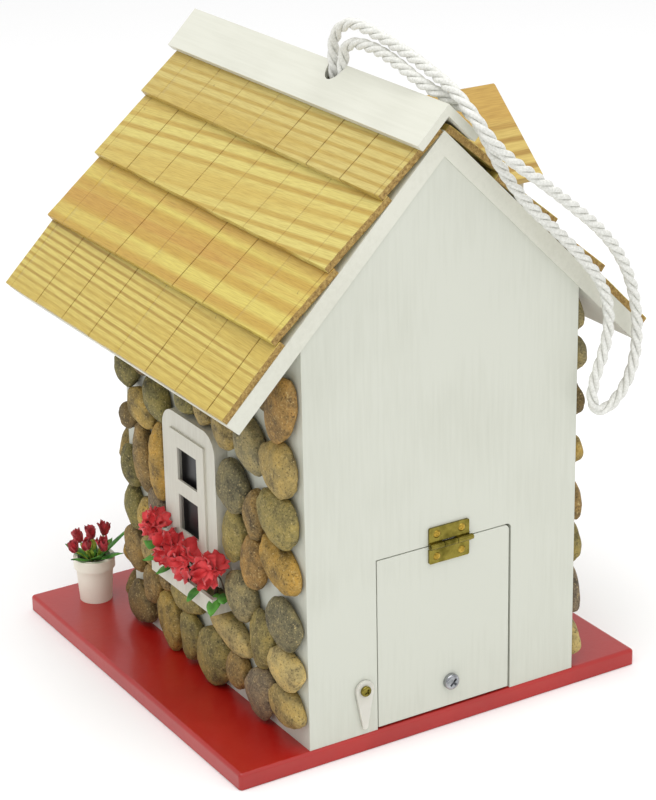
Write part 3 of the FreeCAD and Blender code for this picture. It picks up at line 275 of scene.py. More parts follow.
# ---- White painted boards ----
# Walls, roof boards, ridge cap, dormer face, clean-out door, window and flower box: thin pine
# boards, glued and pinned, brushed with white water-based paint that leaves faint strokes.
def white_paint(name, code, dirt, stretch):
    """Brushed white paint; stretch is how long a stroke runs along X, Y and Z, in millimetres."""
    paint, tree, shader = material(name, code, 0.55)
    place = add(tree, "TexCoord")
    strokes = add(tree, "Mapping", {"Vector": (place, "Object"), "Scale": [per_mm(s) for s in stretch]})
    brush = add(tree, "TexNoise", {"Vector": (strokes, 0)}, Scale=1.0, Detail=3.0, Roughness=0.6)
    cloud = add(tree, "TexNoise", {"Vector": (place, "Object")}, Scale=per_mm(60), Detail=2.0)
    both = add(tree, "Mix", {0: 0.6, 2: (brush, "Fac"), 3: (cloud, "Fac")}, data_type="FLOAT")
    tone = ramp(tree, (both, 0), [(0.32, dirt), (0.55, code)])
    tree.links.new(tone.outputs[0], shader.inputs["Base Color"])
    bump(tree, shader, (brush, "Fac"), 0.06, 0.4)
    return paint


WALL_WHITE = "#CDCFC3"
WALL_SHADE = "#C5C7BA"
wall_paint = white_paint("white_wall_paint", WALL_WHITE, WALL_SHADE, (1.6, 1.6, 28))
slope_paint = white_paint("white_roof_paint", "#D7D7CA", "#CDCDBF", (1.8, 40, 1.8))
trim_paint = white_paint("white_trim_paint", "#D3D1C4", "#C6C2B4", (1.2, 1.2, 14))


def finish_cad(names, paint, edge_mm=0.0):
    """Give CAD nodes their material, and soften their sawn edges by a little."""
    for name in names:
        node = NODES[name]
        node.data.materials.clear()
        node.data.materials.append(paint)
        if edge_mm:
            weld = node.modifiers.new("weld", "WELD")
            weld.merge_threshold = 0.001 * MM
            soft = node.modifiers.new("edge", "BEVEL")
            soft.width = edge_mm * MM
            soft.segments = 2
            soft.limit_method = "ANGLE"
            soft.angle_limit = math.radians(40)
            soft.harden_normals = True


finish_cad(("rear_wall", "front_wall", "window_wall", "side_wall"), wall_paint)
finish_cad(("cleanout_door",), wall_paint)
finish_cad(("door_stop_window_side", "door_stop_far_side"), wall_paint)
finish_cad(("roof_board_window_side", "roof_board_far_side"), slope_paint)
finish_cad(("ridge_cap_window_side", "ridge_cap_far_side"), slope_paint)
finish_cad(("dormer_front_board", "dormer_cheek_rear", "dormer_cheek_front"), trim_paint)
finish_cad(("window_plate", "window_frame", "flower_box"), trim_paint)


# ---- Red base and front door ----
# A pine board under the walls and a thin arched panel round the entrance, both brushed with
# glossy red enamel, which has a faint orange peel.
enamel, tree, shader = material("red_enamel", "#A81612", 0.32, Coat_Weight=0.3, Coat_Roughness=0.15)
mottle(tree, shader, 40, "#A2150F", "#AE1912", 4.0)
place = add(tree, "TexCoord")
orange_peel = add(tree, "TexNoise", {"Vector": (place, "Object")}, Scale=per_mm(3), Detail=2.0)
bump(tree, shader, (orange_peel, "Fac"), 0.12, 0.5)
finish_cad(("base_plate", "front_door"), enamel)


# ---- Roof planks ----
# Four lapped rows of clear-varnished pine on each slope, 3 mm thick, sawn across every 25 mm to
# look like shingles. The saw cuts are shallow and uneven, and the sawn ends are rough and brown.
WAVE_SCALE = 0.314  # a wave texture at this scale has one band in each unit


def pine(name, spacing, wobble, slant, pale, late, warm, warm_band, coordinates="UV",
         stretch=(0.05, 1, 1), sharp=0.5):
    """Varnished pine; spacing is the rings' in millimetres, slant in degrees across the grain."""
    wood, tree, shader = material(name, pale, 0.5, Coat_Weight=0.15, Coat_Roughness=0.3)
    place = add(tree, "TexCoord")
    turned = add(tree, "Mapping", {"Vector": (place, coordinates)})
    turned.inputs["Rotation"].default_value = (0, 0, math.radians(slant))
    grain = add(tree, "Mapping", {"Vector": (turned, 0), "Scale": stretch})
    rings = add(tree, "TexWave", {"Vector": (grain, 0)}, bands_direction="Y",
                Scale=WAVE_SCALE * per_mm(spacing), Distortion=wobble, Detail=3.0)
    rings.inputs["Detail Scale"].default_value = 0.35
    tone = ramp(tree, (rings, "Fac"), [(0.0, pale), (sharp, pale), (0.88, late), (1.0, late)])
    band = add(tree, "TexNoise", {"Vector": (grain, 0)}, Scale=per_mm(warm_band), Detail=1.0)
    share = ramp(tree, (band, "Fac"), [(0.45, "#000000"), (0.62, "#FFFFFF")])
    warmed = add(tree, "Mix", {0: (share, 0), 6: (tone, 0), 7: linear(warm)}, data_type="RGBA")
    fibre = add(tree, "TexNoise", {"Vector": (grain, 0)}, Scale=per_mm(0.45), Detail=3.0)
    shade = ramp(tree, (fibre, "Fac"), [(0.25, "#C8B890"), (0.6, "#FFFFFF")])
    fibred = add(tree, "Mix", {0: 0.55, 6: (warmed, 2), 7: (shade, 0)}, data_type="RGBA",
                 blend_type="MULTIPLY")
    speck = add(tree, "TexNoise", {"Vector": (place, coordinates)}, Scale=per_mm(5), Detail=2.0)
    knots = ramp(tree, (speck, "Fac"), [(0.755, "#000000"), (0.785, "#B0B0B0")])
    knotty = add(tree, "Mix", {0: (knots, 0), 6: (fibred, 2), 7: linear("#5A3C1C")}, data_type="RGBA")
    # Saw cuts turn dark brown by their depth: partly the torn end grain's own colour, partly painted
    # shade in the groove.
    cut = add(tree, "Attribute", attribute_name="cut")
    dark = add(tree, "Mix", {0: (cut, "Fac"), 6: (knotty, 2), 7: linear("#6B4520")}, data_type="RGBA")
    tree.links.new(dark.outputs[2], shader.inputs["Base Color"])
    bump(tree, shader, (fibre, "Fac"), 0.12, 0.4)
    return wood


# Sawn end grain, torn by the blade.
end_grain, tree, shader = material("pine_end_grain", "#A08044", 0.8)
place = add(tree, "TexCoord")
torn = add(tree, "TexNoise", {"Vector": (place, "Object")}, Scale=per_mm(1.3), Detail=5.0,
           Roughness=0.7)
tone = ramp(tree, (torn, "Fac"), [(0.3, "#6A5228"), (0.5, "#A08044"), (0.7, "#C8AC68")])
tree.links.new(tone.outputs[0], shader.inputs["Base Color"])
bump(tree, shader, (torn, "Fac"), 0.6)

PLANK_THICK = 3.1 * MM
PLANK_TILT = 5.6
KERF_PITCH = 25
KERF_WIDE = 0.8
KERF_DEEP = 0.55
EDGE_STEP = 0.35  # the narrow strip of faces along a plank's edges
ACROSS_STEPS = 27
FACE_WAVES = 0.08
WORN_EDGE = 0.3
EDGE_BOW = 0.35
EDGE_FRAY = 0.12
END_TEAR = 0.55
ROPE_HOLE = 5.8
HOLE_Y = 21
# Row: first saw cut from the front end, tilt, and which cuts went deepest and darkest (browner end
# grain plus painted shade that grows with depth).
ROWS = {
    "ridge": (15, PLANK_TILT, (4, 5, 6)),
    "upper": (6, PLANK_TILT, (1, 2, 3)),
    "lower": (15, PLANK_TILT, (2, 4, 5)),
    "eave": (6, 0.0, (1, 2, 3, 5, 7)),
}
WOODS = {
    "ridge": pine("pine_ridge_row", 4.6, 2.2, 1.5, "#C8B66A", "#B69B48", "#BFA551", 16),
    "upper": pine("pine_upper_row", 6.4, 5.5, 5.0, "#D0C16C", "#B99B43", "#C7AE56", 22),
    "lower": pine("pine_lower_row", 11.0, 3.0, 1.0, "#D0BF5F", "#BE9D40", "#BD943F", 10, sharp=0.3),
    "eave": pine("pine_eave_row", 3.3, 1.4, -1.0, "#D0BE65", "#AD8F3B", "#C5AC51", 14),
}


def plank_lines(length, first, count):
    """Columns along a plank: (distance from its front end, share of a cut's depth, cut number)."""
    columns = {0.0: (0, -1), EDGE_STEP: (0, -1), length - EDGE_STEP: (0, -1), length: (0, -1)}
    spot = 3.0
    while spot < length - 2:
        columns[round(spot, 3)] = (0, -1)
        spot += 3.1
    for number in range(count):
        middle = first + number * KERF_PITCH
        for near in [at for at in columns if 0.4 < at < length - 0.4 and abs(at - middle) < 1.2]:
            del columns[near]
        for offset, share in ((-0.5, 0), (-0.3, 1), (0.3, 1), (0.5, 0)):
            columns[middle + offset * KERF_WIDE] = (share, number)
    return sorted((spot, share, number) for spot, (share, number) in columns.items())


def make_plank(row, side_name, side, seed):
    """One plank as a closed mesh laid where its CAD node lies."""
    first, tilt, deepest = ROWS[row]
    node = f"shingle_{row}_{side_name}"
    low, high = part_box(node)
    slope = math.radians(45 - tilt)
    down = Vector((side * math.cos(slope), 0, -math.sin(slope)))
    out = Vector((side * math.sin(slope), 0, math.cos(slope)))
    start = Vector((low.x if side > 0 else high.x, low.y, high.z - PLANK_THICK * out.z))
    width = (high.x - low.x - PLANK_THICK * math.sin(slope)) / math.cos(slope) / MM
    length = (high.y - low.y) / MM
    if side < 0:
        first = length - first - 7 * KERF_PITCH
    columns = plank_lines(length, first, 8)
    inner = width - 2 * EDGE_STEP
    across = [0, EDGE_STEP] + [EDGE_STEP + inner * (i + 1) / ACROSS_STEPS for i in range(ACROSS_STEPS)]
    across.append(width)
    chance = random.Random(seed)
    strength = [chance.uniform(0.75, 1.0) if number in deepest else chance.uniform(0.25, 0.5)
                for number in range(9)]
    verts, faces, slots, cuts, flat = [], [], [], [], []
    rows, count = len(across), len(columns)
    for top in (True, False):
        for along, share, number in columns:
            reach = 0.0
            hole = ROPE_HOLE ** 2 - (along + low.y / MM - HOLE_Y) ** 2
            if row == "ridge" and hole > 0:
                reach = math.sqrt(hole) / math.cos(slope)
            for index, distance in enumerate(across):
                spot = max(distance, reach + 0.02 * index)
                rough = noise.noise(Vector((along * 0.11, spot * 0.13, seed * 7.3)))
                fray = noise.noise(Vector((along * 1.1, spot * 1.7, seed * 3.1)))
                lift = 0.0
                cut = 0.0
                if top:
                    torn_cut = 0.7 + 0.6 * noise.noise(Vector((spot * 0.35, number * 5.0, seed)))
                    cut = share * strength[number] * max(0.0, min(1.0, torn_cut))
                    lift = PLANK_THICK / MM + FACE_WAVES * rough - KERF_DEEP * cut
                    if index in (0, rows - 1) or along in (0.0, length):
                        lift -= WORN_EDGE
                stagger = 0.0
                if index == rows - 1:
                    bow = noise.noise(Vector((along * 0.05, seed * 1.9, 0)))
                    stagger = EDGE_BOW * bow + EDGE_FRAY * fray - 0.2
                inset = 0.0
                if along in (0.0, length):
                    inset = (END_TEAR * abs(fray) + 0.25) * (1 if along == 0.0 else -1)
                verts.append(start + down * ((spot + stagger) * MM) + out * (lift * MM)
                             + Vector((0, (along + inset) * MM, 0)))
                cuts.append(cut)
                flat.append((along + seed * 37, spot + seed * 11))
    half = rows * count

    def face(corners, slot):
        faces.append(corners if side > 0 else corners[::-1])
        slots.append(slot)

    for c in range(count - 1):
        for r in range(rows - 1):
            a, b = c * rows + r, (c + 1) * rows + r
            face((a, a + 1, b + 1, b), 0)
            face((a + half, b + half, b + 1 + half, a + 1 + half), 0)
        for r, turned in ((0, False), (rows - 1, True)):
            a, b = c * rows + r, (c + 1) * rows + r
            face((a, a + half, b + half, b) if turned else (a, b, b + half, a + half), 0)
    for r in range(rows - 1):
        for c, turned in ((0, True), (count - 1, False)):
            a, b = c * rows + r, c * rows + r + 1
            face((a, a + half, b + half, b) if turned else (a, b, b + half, a + half), 1)
    made = piece(f"plank_{row}_{side_name}", verts, faces, [WOODS[row], end_grain], slots=slots)
    made.data.set_sharp_from_angle(angle=math.radians(35))
    # The cut depth also darkens the wood: end grain colour plus painted shade.
    layer = made.data.attributes.new("cut", "FLOAT", "POINT")
    layer.data.foreach_set("value", cuts)
    sheet = made.data.uv_layers.new(name="grain")
    for loop in made.data.loops:
        u, v = flat[loop.vertex_index]
        sheet.data[loop.index].uv = (u * MM, v * MM)
    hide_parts(node)


for side_name, side, shift in (("window_side", 1, 1), ("far_side", -1, 11)):
    for number, row in enumerate(ROWS):
        make_plank(row, side_name, side, shift + number)

# ---- Dormer roof ----
# Two short pine boards with their grain down the dormer's length, glued at its ridge.
dormer_wood = pine("pine_dormer", 5.0, 2.0, 0.0, "#C9B060", "#A8863A", "#BC9848", 18,
                   coordinates="Object", stretch=(0.05, 1, 0.05))
finish_cad(("dormer_roof_rear", "dormer_roof_front"), dormer_wood, 0.8)

# ---- Pebbles ----
# River pebbles in tans, olives and browns, glued flat side down over three walls, and speckled with
# fine dark pits. Each is shaped where its CAD stone lies.
pebble, tree, shader = material("river_pebble", "#948658", 0.72)
place = add(tree, "TexCoord")
tint = add(tree, "Attribute", attribute_name="tint")
patches = add(tree, "TexNoise", {"Vector": (place, "Object")}, Scale=per_mm(7), Detail=5.0,
              Roughness=0.65)
cloudy = ramp(tree, (patches, "Fac"), [(0.32, "#6E6650"), (0.48, "#CFC8AE"), (0.66, "#FFEFC0")])
clouded = add(tree, "Mix", {0: 0.9, 6: (tint, "Color"), 7: (cloudy, 0)}, data_type="RGBA",
              blend_type="MULTIPLY")
speck = add(tree, "TexNoise", {"Vector": (place, "Object")}, Scale=per_mm(0.9), Detail=3.0,
            Roughness=0.7)
pits = ramp(tree, (speck, "Fac"), [(0.34, "#4A4030"), (0.44, "#FFFFFF")])
pitted = add(tree, "Mix", {0: 0.75, 6: (clouded, 2), 7: (pits, 0)}, data_type="RGBA",
             blend_type="MULTIPLY")
grit = ramp(tree, (speck, "Fac"), [(0.58, "#000000"), (0.72, "#FFFFFF")])
gritty = add(tree, "Mix", {0: (grit, 0), 6: (pitted, 2), 7: linear("#C9B47C")}, data_type="RGBA")
tree.links.new(gritty.outputs[2], shader.inputs["Base Color"])
bump(tree, shader, (speck, "Fac"), 0.6, 0.8)

TINTS = {
    "tan": "#B5A26C", "ochre": "#BBA35E", "orange": "#B59258", "gold": "#C2A052", "brown": "#9A8254",
    "dark": "#7F6D46", "olive": "#A0955F", "moss": "#8C8754", "grey": "#A39B7A", "slate": "#8A866C",
    "mauve": "#978878", "pale": "#C8B784",
}
TINT_REACH = 10  # mm from a listed spot within which a stone takes its tint
# Stones of the window wall: distance from the rear corner, height, tint.
STONE_TINTS = [
    (10, 152, "orange"), (14, 127, "tan"), (15, 105, "olive"), (15, 83, "gold"), (12, 58, "slate"),
    (12, 40, "pale"), (12, 24, "tan"), (35, 130, "grey"), (34, 101, "brown"), (34, 77, "orange"),
    (34, 48, "olive"), (32, 22, "mauve"), (27, 156, "dark"), (50, 105, "slate"), (56, 124, "tan"),
    (51, 80, "olive"), (51, 59, "grey"), (56, 38, "pale"), (50, 23, "brown"), (71, 21, "olive"),
    (91, 21, "olive"), (113, 20, "ochre"), (125, 31, "brown"), (140, 22, "dark"), (142, 44, "brown"),
    (129, 46, "tan"), (115, 37, "brown"), (95, 37, "olive"), (143, 66, "moss"), (133, 63, "ochre"),
    (119, 72, "mauve"), (144, 86, "moss"), (132, 89, "brown"), (115, 94, "gold"), (143, 104, "dark"),
    (131, 115, "ochre"), (113, 120, "moss"), (143, 125, "moss"), (127, 132, "brown"),
]


def islands(mesh):
    """The vertex sets of a mesh's separate parts."""
    parent = list(range(len(mesh.vertices)))

    def root(i):
        while parent[i] != i:
            parent[i] = parent[parent[i]]
            i = parent[i]
        return i

    merged = {}
    for vertex in mesh.vertices:
        key = tuple(round(c * 1e6) for c in vertex.co)
        twin = merged.setdefault(key, vertex.index)
        parent[root(vertex.index)] = root(twin)
    for edge in mesh.edges:
        parent[root(edge.vertices[0])] = root(edge.vertices[1])
    groups = {}
    for vertex in mesh.vertices:
        groups.setdefault(root(vertex.index), []).append(vertex.co.copy())
    return list(groups.values())


def ball(steps):
    """A unit sphere from a cube, as vertices and quads."""
    verts, faces, seen = [], [], {}

    def corner(v):
        key = tuple(round(c, 5) for c in v)
        if key not in seen:
            seen[key] = len(verts)
            verts.append(Vector(v).normalized())
        return seen[key]

    for axis in range(3):
        for sign in (-1, 1):
            for i in range(steps):
                for j in range(steps):
                    quad = []
                    for di, dj in ((0, 0), (1, 0), (1, 1), (0, 1)):
                        one = math.tan((2 * (i + di) / steps - 1) * math.pi / 4)
                        other = math.tan((2 * (j + dj) / steps - 1) * math.pi / 4)
                        v = [0, 0, 0]
                        v[axis], v[(axis + 1) % 3], v[(axis + 2) % 3] = sign, one, other
                        quad.append(corner(v))
                    faces.append(tuple(quad if sign > 0 else quad[::-1]))
    return verts, faces


def make_pebbles(node, outward, along_axis, seed, steps):
    """A wall's stones as one mesh, each with its own shape and tint."""
    chance = random.Random(seed)
    sphere, quads = ball(steps)
    verts, faces, tints = [], [], []
    names = sorted(TINTS)
    upward = Vector((0, 0, 1))
    stones = islands(NODES[node].data)
    stones.sort(key=lambda group: (round(sum(v.z for v in group) / len(group), 4),
                                   round(sum(v.dot(along_axis) for v in group) / len(group), 4)))
    for number, group in enumerate(stones):
        wall = min(v.dot(outward) for v in group)
        rise = max(v.dot(outward) for v in group) - wall
        flat = [(v.dot(along_axis), v.z) for v in group if v.dot(outward) < wall + rise * 0.2]
        mid_a = (min(f[0] for f in flat) + max(f[0] for f in flat)) / 2
        mid_z = (min(f[1] for f in flat) + max(f[1] for f in flat)) / 2
        best = max(flat, key=lambda f: (f[0] - mid_a) ** 2 + (f[1] - mid_z) ** 2)
        lean = math.atan2(best[1] - mid_z, best[0] - mid_a)
        long_way = along_axis * math.cos(lean) + upward * math.sin(lean)
        short_way = upward * math.cos(lean) - along_axis * math.sin(lean)
        half_long = half_short = 0.0
        for across, height in flat:
            across -= mid_a
            height -= mid_z
            half_long = max(half_long, abs(across * math.cos(lean) + height * math.sin(lean)))
            half_short = max(half_short, abs(height * math.cos(lean) - across * math.sin(lean)))
        centre = outward * wall + along_axis * mid_a + upward * mid_z
        name = chance.choice(names)
        if node == "pebbles_window_wall":
            y_from_corner = (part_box("rear_wall")[1].y - centre.y) / MM
            away = [math.hypot(s[0] - y_from_corner, s[1] - mid_z / MM) for s in STONE_TINTS]
            if min(away) < TINT_REACH:
                name = STONE_TINTS[away.index(min(away))][2]
        colour = linear(TINTS[name])
        shade = chance.uniform(0.88, 1.1)
        offset = Vector([chance.uniform(-50, 50) for _ in range(3)])
        skew = chance.uniform(-0.14, 0.14)
        first = len(verts)
        for v in sphere:
            swell = 1 + 0.17 * noise.noise(v * 0.9 + offset) + 0.06 * noise.noise(v * 2.4 + offset)
            swell += 0.02 * noise.noise(v * 5.5 + offset)
            u = v.x * swell * (1 + skew * v.y) * 1.03
            w = v.y * swell * (1 + skew * v.x) * 1.03
            h = 0.40 + 0.60 * math.copysign(abs(v.z) ** 0.85, v.z) * swell
            verts.append(centre + long_way * (half_long * u) + short_way * (half_short * w)
                         + outward * (rise * max(h, -0.05)))
            tints.append((colour[0] * shade, colour[1] * shade, colour[2] * shade, 1.0))
        right_handed = long_way.cross(short_way).dot(outward) > 0
        for quad in quads:
            corners = tuple(first + i for i in quad)
            faces.append(corners if right_handed else corners[::-1])
    made = piece(node + "_stones", verts, faces, [pebble])
    layer = made.data.color_attributes.new("tint", "FLOAT_COLOR", "POINT")
    for datum, colour in zip(layer.data, tints):
        datum.color = colour
    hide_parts(node)


make_pebbles("pebbles_window_wall", Vector((1, 0, 0)), Vector((0, 1, 0)), 5, 14)
make_pebbles("pebbles_side_wall", Vector((-1, 0, 0)), Vector((0, 1, 0)), 6, 12)
make_pebbles("pebbles_front_wall", Vector((0, -1, 0)), Vector((1, 0, 0)), 7, 12)

# ---- Window panes ----
# A black painted panel behind the frame's two openings.
black, tree, shader = material("black_panel_paint", "#0F0D0F", 0.35)
mottle(tree, shader, 6, "#0B090B", "#141114")
finish_cad(("window_panes",), black)

# ---- Metal fittings ----
# Pressed brass hinge with its screws and pin, brass latch screw, chromed pull screw, zinc-plated
# base screws. All are bought in; the brass is painted dark: painted reflection of dark surroundings.
# Dark olive brass tones: painted reflection of dark surroundings, not tarnish.
brass, tree, shader = material("brass", "#857A38", 0.2, Metallic=1.0)
dark_reflection_mottle = mottle(tree, shader, 5, "#5C5420", "#877B38")
bump(tree, shader, (dark_reflection_mottle, "Fac"), 0.04, 0.5)
chrome, tree, shader = material("chrome", "#D2D3D6", 0.12, Metallic=1.0)
mottle(tree, shader, 3, "#85878B", "#AEB0B4")
steel, tree, shader = material("zinc_plated_steel", "#A9ABAE", 0.35, Metallic=1.0)
mottle(tree, shader, 2, "#909296", "#B4B6B9")
finish_cad(("hinge_leaf_wall", "hinge_leaf_door", "hinge_pin", "latch_screw"), brass)
# The hinge's screw heads are painted a brighter brass than its leaves: painted highlight.
screw_brass_painted_highlight, tree, shader = material("brass_screws_painted_highlight", "#A88C38", 0.28, Metallic=1.0)
mottle(tree, shader, 2, "#8E7428", "#B89A44")

# The hinge's screws have raised heads with a driver's recess: (radius, height over the leaf) in mm.
SCREW_PROFILE = [(0, 0.05), (0.4, 0.1), (0.55, 0.42), (0.7, 0.5), (1.0, 0.46), (1.35, 0.32),
                 (1.58, 0.12), (1.66, 0), (0.82, -0.82), (0.82, -6.2), (0.3, -6.9)]
SCREW_SIDES = 28
SCREW_HEAD = 1.7 * MM
SCREW_TIP = 7 * MM
for node, body in (("hinge_screws_wall", "house"), ("hinge_screws_door", "cleanout_door")):
    low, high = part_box(node)
    verts, faces = [], []
    for x in (low.x + SCREW_HEAD, high.x - SCREW_HEAD):
        axis = Vector((x, high.y, (low.z + high.z) / 2))
        first = len(verts)
        verts.append(axis + Vector((0, SCREW_PROFILE[0][1], 0)) * MM)
        for radius, height in SCREW_PROFILE[1:]:
            for side in range(SCREW_SIDES):
                turn = 2 * math.pi * side / SCREW_SIDES
                rim = Vector((radius * math.sin(turn), height, radius * math.cos(turn)))
                verts.append(axis + rim * MM)
        tip = len(verts)
        verts.append(axis - Vector((0, SCREW_TIP, 0)))
        for side in range(SCREW_SIDES):
            after = (side + 1) % SCREW_SIDES
            faces.append((first, first + 1 + side, first + 1 + after))
            for ring in range(len(SCREW_PROFILE) - 2):
                start = first + 1 + ring * SCREW_SIDES
                below = start + SCREW_SIDES
                faces.append((start + side, below + side, below + after, start + after))
            last = tip - SCREW_SIDES
            faces.append((last + after, last + side, tip))
    screws = piece(node + "_heads", verts, faces, [screw_brass_painted_highlight], body)
    screws.data.set_sharp_from_angle(angle=math.radians(50))
    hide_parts(node)
finish_cad(("pull_screw",), chrome)
finish_cad(("base_screws",), steel)

# ---- Turn latch ----
# A moulded tab of milky polypropylene.
milky, tree, shader = material("milky_plastic", "#ECEADF", 0.3, Transmission_Weight=0.3, IOR=1.49)
mottle(tree, shader, 8, "#E6E4D8", "#F0EEE4")
finish_cad(("turn_latch",), milky)


# ---- Plants ----
# Cloth petals and plastic leaves: thin closed sheets, cupped and ruffled, gathered on short stems.
def close_sheet(first, rows, columns, faces):
    """Add the faces of a sheet whose upper vertices come first and whose lower ones follow."""
    half = rows * columns
    for r in range(rows - 1):
        for c in range(columns - 1):
            a = first + r * columns + c
            faces.append((a, a + 1, a + columns + 1, a + columns))
            faces.append((a + half, a + half + columns, a + half + columns + 1, a + half + 1))
    ring = ([first + c for c in range(columns)]
            + [first + r * columns + columns - 1 for r in range(1, rows)]
            + [first + (rows - 1) * columns + c for c in range(columns - 2, -1, -1)]
            + [first + r * columns for r in range(rows - 2, 0, -1)])
    for a, b in zip(ring, ring[1:] + ring[:1]):
        faces.append((b, a, a + half, b + half))


THIN_EDGE = 0.3  # a sheet's thickness at its edge, as a share of the rest


def blade(root, along, face, length, width, cup, ruffle, tip, seed, verts, faces, grid=(7, 5),
          thick=0.22):
    """Add a petal or leaf as a thin closed sheet; tip is 1 for a pointed end, 0 for a round one."""
    along = along.normalized()
    side = along.cross(face).normalized()
    face = side.cross(along)
    first = len(verts)
    rows, columns = grid
    for layer in (1, -1):
        for r in range(rows):
            t = r / (rows - 1)
            if tip:
                spread = math.sin(math.pi * min(1, t * 0.92 + 0.08)) ** 0.8
            else:
                spread = math.sin(math.pi * (0.08 + 0.80 * t ** 0.85)) ** 0.6
            for c in range(columns):
                s = 2 * c / (columns - 1) - 1
                ragged = 1 + ruffle * 0.25 * noise.noise(Vector((s * 2.2 + seed, t * 3, seed * 1.7)))
                hollow = 0.6 if tip else 1
                lift = cup * (t * t * length * 0.5) + cup * 0.35 * width * s * s * hollow
                wave = noise.noise(Vector((s * 1.9 + seed, t * 2.1, seed)))
                lift += ruffle * width * 0.28 * t * wave
                edge = 1 if abs(s) < 0.99 and 0 < t < 1 else THIN_EDGE
                outline = along * (t * length * ragged) + side * (s * width / 2 * spread * ragged)
                verts.append(root + (outline + face * (lift + layer * thick / 2 * edge)) * MM)
    close_sheet(first, rows, columns, faces)


def plant_material(name, dark, light, size_mm, sheen=0.0):
    made, tree, shader = material(name, light, 0.6, Sheen_Weight=sheen)
    mottle(tree, shader, size_mm, dark, light)
    return made


petal_red = plant_material("petal_cloth_red", "#C41C22", "#E43E42", 5, 0.3)
petal_deep = plant_material("petal_cloth_deep_red", "#8C1420", "#C9303C", 4, 0.3)
leaf_green = plant_material("leaf_plastic_green", "#2F6E1E", "#5FA63C", 6)
bud_green = plant_material("bud_plastic_yellow_green", "#7C9A2C", "#B9C94E", 3)
stem_brown = plant_material("stem_wire_brown", "#3A2A22", "#5A4638", 2)
moss_brown = plant_material("dried_moss", "#4A4A28", "#7A7440", 2)

LEAF_GRID = (9, 5)
LEAF_THICK = 0.3
STEM_STEP = 1 * MM

box_low, box_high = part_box("flower_box")
box_mid = (box_low + box_high) / 2
wall_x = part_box("window_wall")[1].x


def bloom_head(centre, radius, outward, seed, verts, faces, florets=4):
    """Several ruffled five-petalled florets facing out of one head."""
    chance = random.Random(seed)
    for number in range(florets):
        angle = 2 * math.pi * number / max(1, florets - 1) + chance.uniform(-0.3, 0.3)
        tilt = 0.0 if number == 0 else chance.uniform(0.7, 1.15)
        one = outward.orthogonal().normalized()
        other = outward.cross(one)
        sideways = one * math.cos(angle) + other * math.sin(angle)
        facing = (outward * math.cos(tilt) + sideways * math.sin(tilt)).normalized()
        middle = centre + facing * (radius * 0.45 * MM)
        start = chance.uniform(0, 2 * math.pi)
        across = facing.orthogonal().normalized()
        beside = facing.cross(across)
        for petal in range(5):
            turn = start + 2 * math.pi * petal / 5 + chance.uniform(-0.2, 0.2)
            flat = across * math.cos(turn) + beside * math.sin(turn)
            way = flat + facing * chance.uniform(0.15, 0.6)
            length = radius * chance.uniform(0.85, 1.05)
            width = radius * chance.uniform(0.85, 1.1)
            cup = chance.uniform(-0.15, 0.45)
            blade(middle, way, facing, length, width, cup, 1.3, 0, chance.uniform(0, 99), verts, faces)


# ---- Flower box planting ----
# Red geranium-like heads lean out over the box's front, with a leaf at each end and dark stems.
HEADS = [(-22.8, 15, 10.5, 6.3), (-9, 9.8, 11, 7.2), (5.9, 9.6, 11, 7.2), (25.5, 12.5, 10.5, 6.8)]
verts, faces = [], []
head_spots = []
for number, (along, lift, outby, radius) in enumerate(HEADS):
    spot = Vector((wall_x + outby * MM, box_mid.y + along * MM, box_high.z + lift * MM))
    head_spots.append(spot)
    bloom_head(spot, radius, Vector((0.85, 0.15, 0.5)).normalized(), 20 + number, verts, faces)
box_blooms = piece("box_blossoms", verts, faces, [petal_red])
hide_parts("flower_box_blooms")
verts, faces = [], []
for number, (along, outby, way, length, width) in enumerate((
        (-25, 7, Vector((0.35, -1, 0.25)), 12, 6), (-22, 9, Vector((0.9, -0.6, -0.2)), 9, 5),
        (-11, 10, Vector((1, -0.3, -0.35)), 8, 5), (13, 10, Vector((1, 0.2, -0.5)), 9, 5),
        (24, 8, Vector((0.8, 0.7, -0.45)), 11, 6), (25, 6, Vector((0.5, 1, 0.1)), 9, 5))):
    root = Vector((wall_x + outby * MM, box_mid.y + along * MM, box_high.z + 0.8 * MM))
    blade(root, way, Vector((0.2, 0, 1)), length, width, -0.25, 0.5, 1, number * 3.7, verts, faces,
          LEAF_GRID, LEAF_THICK)
box_leaves = piece("box_leaves", verts, faces, [leaf_green])
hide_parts("flower_box_leaves")
verts, faces = [], []
chance = random.Random(9)
for spot in head_spots:
    for number in range(4):
        foot = Vector((wall_x + chance.uniform(4, 8) * MM, spot.y + chance.uniform(-5, 5) * MM,
                       box_high.z - 1.5 * MM))
        bend = foot.lerp(spot, 0.6) + Vector((-0.5, chance.uniform(-1, 1), 1.5)) * MM
        tube(evenly([foot, foot.lerp(bend, 0.55), bend, spot], STEM_STEP), 0.35 * MM, 6, verts, faces)
piece("box_stems", verts, faces, [stem_brown])
moss_low, moss_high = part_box("flower_box_moss")
verts, faces = [], []
across_count, along_count = 9, 46
for layer in (1, 0):
    for i in range(along_count):
        for j in range(across_count):
            x = moss_low.x + (moss_high.x - moss_low.x) * j / (across_count - 1)
            y = moss_low.y + (moss_high.y - moss_low.y) * i / (along_count - 1)
            rise = 1.4 * MM * noise.noise(Vector((x, y, 0)) * 420) if layer else 0
            verts.append(Vector((x, y, moss_high.z + rise if layer else moss_low.z)))
close_sheet(0, along_count, across_count, faces)
moss = piece("box_moss", verts, faces, [moss_brown])
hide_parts("flower_box_moss")

